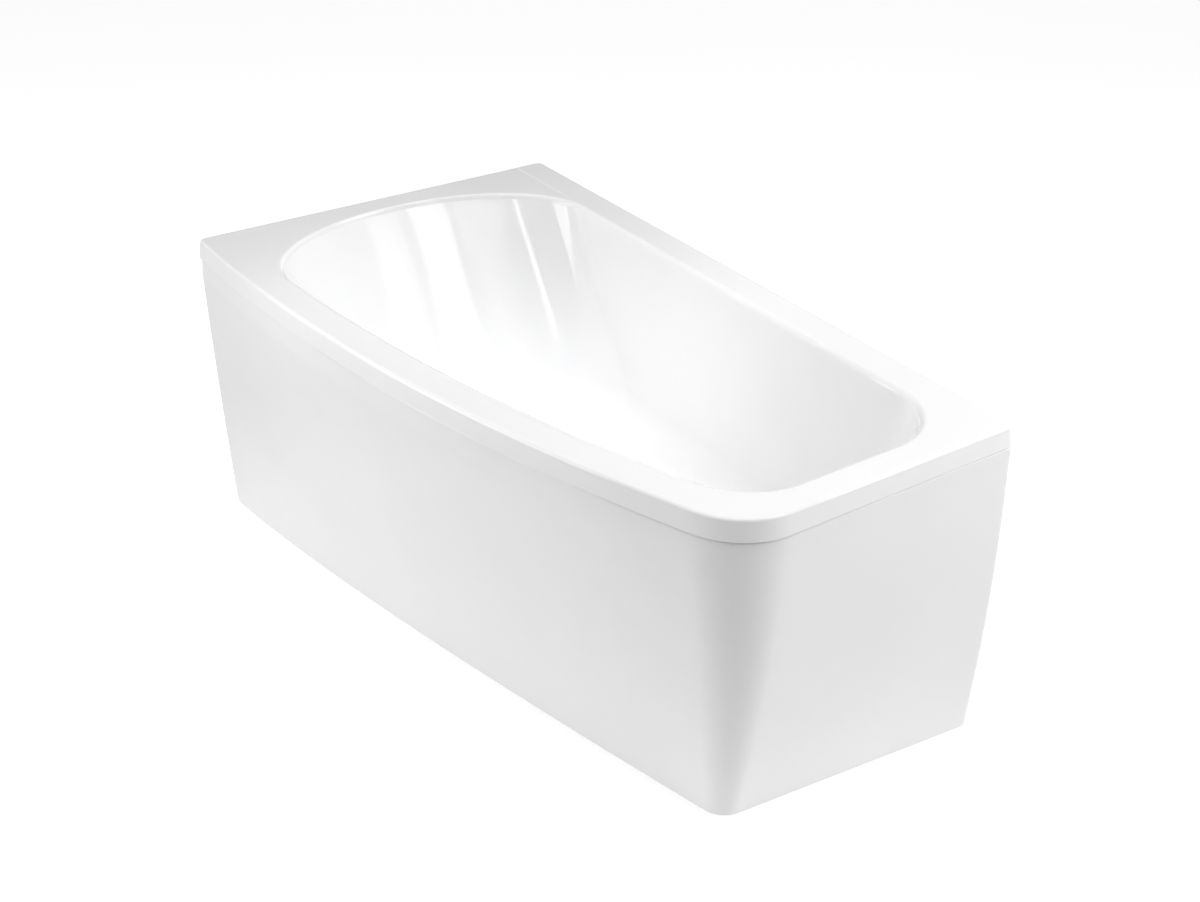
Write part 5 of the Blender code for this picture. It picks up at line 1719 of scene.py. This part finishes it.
        self.union("outlet_union", "outlet_nut", self.axis @ side, start - 0.014, start + 0.014)
        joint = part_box("trap_union_nut")
        self.union("trap_union", "trap_union_nut", self.axis, joint[0].z, joint[1].z)

    def make_cup(self, low: float) -> None:
        """Screw-off cup with grip ribs."""
        base = low - 0.014
        outer = self.trap
        sections = [(0.0005, base, 0.0), (outer - 0.010, base, 0.0), (outer - 0.0062, base, 0.3),
                    (outer - 0.0030, base + 0.0018, 1.0), (outer, base + 0.0050, 1.0),
                    (outer, low - GAP - 0.0012, 1.0), (outer - 0.0006, low - GAP, 0.4),
                    (outer - 0.0036, low - GAP, 0.0), (outer - 0.0040, low - GAP - 0.0005, 0.0),
                    (outer - 0.0040, base + 0.0080, 0.0), (outer - 0.0060, base + 0.0060, 0.0),
                    (outer - 0.0100, base + 0.0045, 0.0), (0.0005, base + 0.0042, 0.0)]
        cup = fluted("trap_screw_cup", sections, 26, 0.0016, self.axis, False, 8)
        settle(cup, BLACK_PLASTIC, "trap_cup")

    def union(self, name: str, node: str, place: Matrix, low: float, high: float) -> None:
        """A ribbed union nut round a pipe."""
        bore, outer = self.pipe + 0.0013, self.pipe + 0.008
        sections = [(bore, low + 0.0006, 0.0), (bore + 0.0006, low, 0.0), (outer - 0.0024, low, 0.0),
                    (outer - 0.0010, low + 0.0010, 0.7), (outer, low + 0.0026, 1.0),
                    (outer, high - 0.0042, 1.0), (outer - 0.0006, high - 0.0026, 0.3),
                    (outer - 0.0012, high - 0.0006, 0.0),
                    (outer - 0.0020, high, 0.0), (bore + 0.0006, high, 0.0), (bore, high - 0.0006, 0.0)]
        settle(fluted(name, sections, 18, 0.0018, place, True, 8), BLACK_PLASTIC, node)

    def build(self) -> None:
        """Make the whole drain."""
        self.make_flange()
        self.make_gasket()
        self.make_body()
        self.make_plug()
        self.make_trap()


@dataclass
class Overflow:
    """Overflow plate with its rotary knob, body, hose to the drain, and the plug's cable.

    Args:
        plan: Outlines and sizes of the basin.
        drain: The drain that the hose and the cable reach.
    """

    plan: Plan
    drain: Drain
    backing: float = 0.003
    plate: float = 0.031
    spindle: float = 0.005
    knob_base: float = 0.0055
    knob: float = 0.034
    knob_height: float = 0.014
    lobe_depth: float = 0.003
    cup_depth: float = 0.030
    gasket: float = 0.003
    hole: float = 0.024
    spigot: float = 0.040
    hose: float = 0.011
    cable: float = 0.0025

    @property
    def axis(self) -> Matrix:
        """Axis of the knob."""
        return self.plan.overflow()

    @property
    def behind(self) -> float:
        """Back of the resin, along the knob's axis."""
        return -(self.plan.wall + GAP + self.backing + GAP)

    def make_plate(self) -> None:
        """Chrome plate with a stepped face."""
        inner = self.spindle + GAP
        face = [(inner, GAP), (self.plate - 0.0004, GAP), (self.plate, GAP + 0.0005), (self.plate, 0.0016),
                (self.plate - 0.0010, 0.0027), (self.plate - 0.0030, 0.0038), (self.plate - 0.0042, 0.0040),
                (inner + 0.004, 0.0040), (inner + 0.0035, 0.0036), (inner, 0.0036)]
        settle(lathe("overflow_disc", face, self.axis, 96), CHROME, "overflow_plate")

    def make_knob(self) -> None:
        """Lobed knob with a dished face and rounded edges."""
        base, top = self.knob_base, self.knob_base + self.knob_height
        radius = self.knob
        sections = [(0.0006, base, 0.0), (radius - 0.0035, base, 0.6), (radius - 0.0014, base + 0.0005, 0.9),
                    (radius - 0.0003, base + 0.0016, 1.0), (radius, base + 0.0032, 1.0),
                    (radius, top - 0.0050, 1.0), (radius - 0.0004, top - 0.0030, 1.0),
                    (radius - 0.0014, top - 0.0014, 0.95), (radius - 0.0030, top - 0.0004, 0.85),
                    (radius - 0.0050, top, 0.7), (radius - 0.0080, top - 0.0003, 0.45),
                    (radius - 0.0140, top - 0.0012, 0.15), (radius - 0.0220, top - 0.0018, 0.0),
                    (0.0006, top - 0.0020, 0.0)]
        knob = fluted("lobed_knob", sections, 6, self.lobe_depth, self.axis, False, 24)
        settle(knob, CHROME, "overflow_knob", body="overflow_control")

    def make_spindle(self) -> None:
        """Steel spindle behind the knob, with a groove for its clip."""
        low, high = self.behind - 0.014, self.knob_base - GAP
        radius = self.spindle
        rod = [(0, low), (radius - 0.0008, low), (radius, low + 0.0008), (radius, low + 0.003),
               (radius - 0.0008, low + 0.0032), (radius - 0.0008, low + 0.0044), (radius, low + 0.0046),
               (radius, high), (0, high)]
        settle(lathe("knob_rod", rod, self.axis, 40, closed=False), ZINC_BRIGHT, "knob_spindle",
               body="overflow_control")

    def make_cup(self) -> None:
        """Gasket and moulded cup behind the foot wall, with a spigot for the hose."""
        back = self.behind
        washer = [(self.hole, back - self.gasket), (self.plate, back - self.gasket), (self.plate, back),
                  (self.hole, back)]
        ring = lathe("overflow_washer", eased(washer, 0.0006), self.axis, 72)
        settle(ring, BLACK_RUBBER, "overflow_gasket")
        front = back - self.gasket - GAP
        rear = front - self.cup_depth
        cup = [(0, rear), (0.0235, rear), (0.0255, rear + 0.0012), (0.026, rear + 0.003),
               (0.026, front - 0.0055), (0.0266, front - 0.0045), (0.0306, front - 0.0040),
               (0.031, front - 0.0034), (0.031, front - 0.0005), (0.0305, front), (0.0225, front),
               (0.0225, rear + 0.0045), (0.0210, rear + 0.003), (0, rear + 0.003)]
        item = lathe("overflow_cup", cup, self.axis, 72, closed=False)
        down = self.axis @ Matrix.Translation((0, 0, (front + rear) / 2)) @ Matrix.Rotation(-pi / 2, 4, "Y")
        settle(pipe_joint(item, self.hose - 0.0006, 0.008, (0.0235, self.spigot), down), WHITE_PLASTIC,
               "overflow_body")

    def fillet_arc(self, distance: float, turns: tuple[float, ...], y: float) -> Ring:
        """Points round the outside of the fillet between foot wall and floor."""
        plan = self.plan
        radius = plan.fillet / (1 - sin(plan.foot_lean))
        edge = plan.length / 2 - plan.deck_foot - plan.wall_inset(plan.depth, plan.foot_lean)
        middle = Vector((edge, y, plan.floor_z + radius))
        reach = radius + distance
        return [middle + reach * Vector((cos(radians(a)), 0, sin(radians(a)))) for a in turns]

    @staticmethod
    def smooth(points: Ring, steps: int) -> Ring:
        """A smooth curve through the points of a route."""
        routed = []
        padded = [points[0] * 2 - points[1], *points, points[-1] * 2 - points[-2]]
        for before, start, end, after in zip(padded, padded[1:], padded[2:], padded[3:]):
            for step in range(steps):
                t = step / steps
                linear = (end - before) * t
                square = (2 * before - 5 * start + 4 * end - after) * t * t
                cube = (3 * start - before - 3 * end + after) * t ** 3
                routed.append(start + 0.5 * (linear + square + cube))
        routed.append(points[-1])
        return routed

    def sweep(self, name: str, route: Ring, radius_at: Callable[[float, float], float], sides: int,
              spacing: float) -> tuple[bpy.types.Object, Ring, float]:
        """A round tube along a route.

        Args:
            name: Name of the piece.
            route: Points of its middle line.
            radius_at: Radius for a distance along the route, given the whole length too.
            sides: Points round the tube.
            spacing: Distance between rings.

        Returns:
            The tube, the evenly spaced middle line and its length.
        """
        lengths = [0.0]
        for start, end in zip(route, route[1:]):
            lengths.append(lengths[-1] + (end - start).length)
        whole = lengths[-1]
        count = int(whole / spacing)
        line = []
        index = 0
        for row in range(count + 1):
            target = whole * row / count
            while index < len(lengths) - 2 and lengths[index + 1] < target:
                index += 1
            share = (target - lengths[index]) / max(lengths[index + 1] - lengths[index], 1e-9)
            line.append(route[index].lerp(route[index + 1], min(share, 1.0)))
        points = []
        across = Vector((0, 1, 0))
        for row, point in enumerate(line):
            ahead = (line[min(row + 1, count)] - line[max(row - 1, 0)]).normalized()
            across = (across - ahead * across.dot(ahead)).normalized()
            up = ahead.cross(across)
            radius = radius_at(whole * row / count, whole)
            points += [point + radius * (across * cos(2 * pi * s / sides) + up * sin(2 * pi * s / sides))
                       for s in range(sides)]
        faces = ring_faces(count + 1, sides, True)
        faces += [tuple(range(sides)), tuple(range(len(points) - sides, len(points)))]
        return mesh_object(name, points, faces, 50.0), line, whole

    def make_hose(self) -> None:
        """Corrugated hose from the overflow cup round the fillet to the drain body."""
        middle = self.behind - self.gasket - GAP - self.cup_depth / 2
        where = self.plan.waste()
        inlet = Vector((where.x + self.drain.body + self.drain.inlet_reach, where.y, self.drain.inlet_z))
        start = self.axis @ Vector((-self.spigot - 3 * GAP, 0, middle))
        lead_out = self.axis @ Vector((-self.spigot - 0.025, 0, middle))
        end = inlet + Vector((3 * GAP, 0, 0))
        points = [start, lead_out, *self.fillet_arc(0.050, (5, -25, -55), where.y),
                  end + Vector((0.022, 0, 0)), end]
        pitch, plain = 0.0045, 0.018

        def ribbed(along: float, whole: float) -> float:
            """Radius of the ribbed hose, plain at its two ends."""
            inside = min(along, whole - along)
            fade = min(max((inside - plain) / pitch, 0.0), 1.0)
            return self.hose - fade * 0.0011 * (1 + cos(2 * pi * along / pitch)) / 2

        item, line, whole = self.sweep("ribbed_hose", self.smooth(points, 24), ribbed, 28, pitch / 8)
        settle(item, HOSE_GREY, "overflow_hose")
        line[::8] + [line[-1]]
        nut = inlet - Vector((0.010, 0, 0))
        place = Matrix.Translation(nut) @ Matrix.Rotation(pi / 2, 4, "Y")
        bore, outer, half = self.drain.hose + 0.0005, self.drain.hose + 0.006, 0.008
        sections = [(bore, -half + 0.0005, 0.0), (bore + 0.0005, -half, 0.0), (outer - 0.0012, -half, 0.2),
                    (outer, -half + 0.0014, 1.0), (outer, half - 0.0014, 1.0), (outer - 0.0012, half, 0.2),
                    (bore + 0.0005, half, 0.0), (bore, half - 0.0005, 0.0)]
        settle(fluted("hose_union", sections, 16, 0.0013, place, True, 8), BLACK_PLASTIC, "hose_nut")

    def make_cable(self) -> None:
        """Sheathed cable that carries the knob's turn to the plug."""
        back = self.behind - self.gasket - GAP - self.cup_depth
        where = self.plan.waste()
        start = self.axis @ Vector((-0.010, 0.014, back - 3 * GAP))
        lead_out = self.axis @ Vector((-0.020, 0.016, back - 0.014))
        end = Vector((where.x, where.y + self.drain.body + 3 * GAP, self.drain.inlet_z + 0.012))
        points = [start, lead_out, *self.fillet_arc(0.046, (10, -30, -65), where.y + 0.045),
                  end + Vector((0.002, 0.022, 0)), end]

        def sheath(along: float, whole: float) -> float:
            """Radius of the cable, drawn in a little beyond the crimped ferrule at each end."""
            return self.cable if min(along, whole - along) < 0.012 else self.cable - 0.0003

        item, line, whole = self.sweep("plug_wire", self.smooth(points, 24), sheath, 20, 0.001)
        settle(item, BLACK_PLASTIC, "plug_cable")
        line[::4] + [line[-1]]

    def build(self) -> None:
        """Make the whole overflow."""
        self.make_plate()
        self.make_knob()
        self.make_spindle()
        self.make_cup()
        self.make_hose()
        self.make_cable()


# ------------------------------------------------------------------------ main

def main() -> None:
    """Build the studio and the bath, and report each piece."""
    logging.basicConfig(level=logging.INFO, format="%(message)s")
    Studio().build()
    plan = Plan()
    BathShell(plan).build()
    Backing(plan).build()
    Battens().build()
    Apron(plan).build()
    LegFrame(plan).build()
    for number in range(1, 5):
        LevellingFoot(number).build()
    drain = Drain(plan)
    drain.build()
    Overflow(plan, drain).build()


if __name__ == "__main__":
    main()
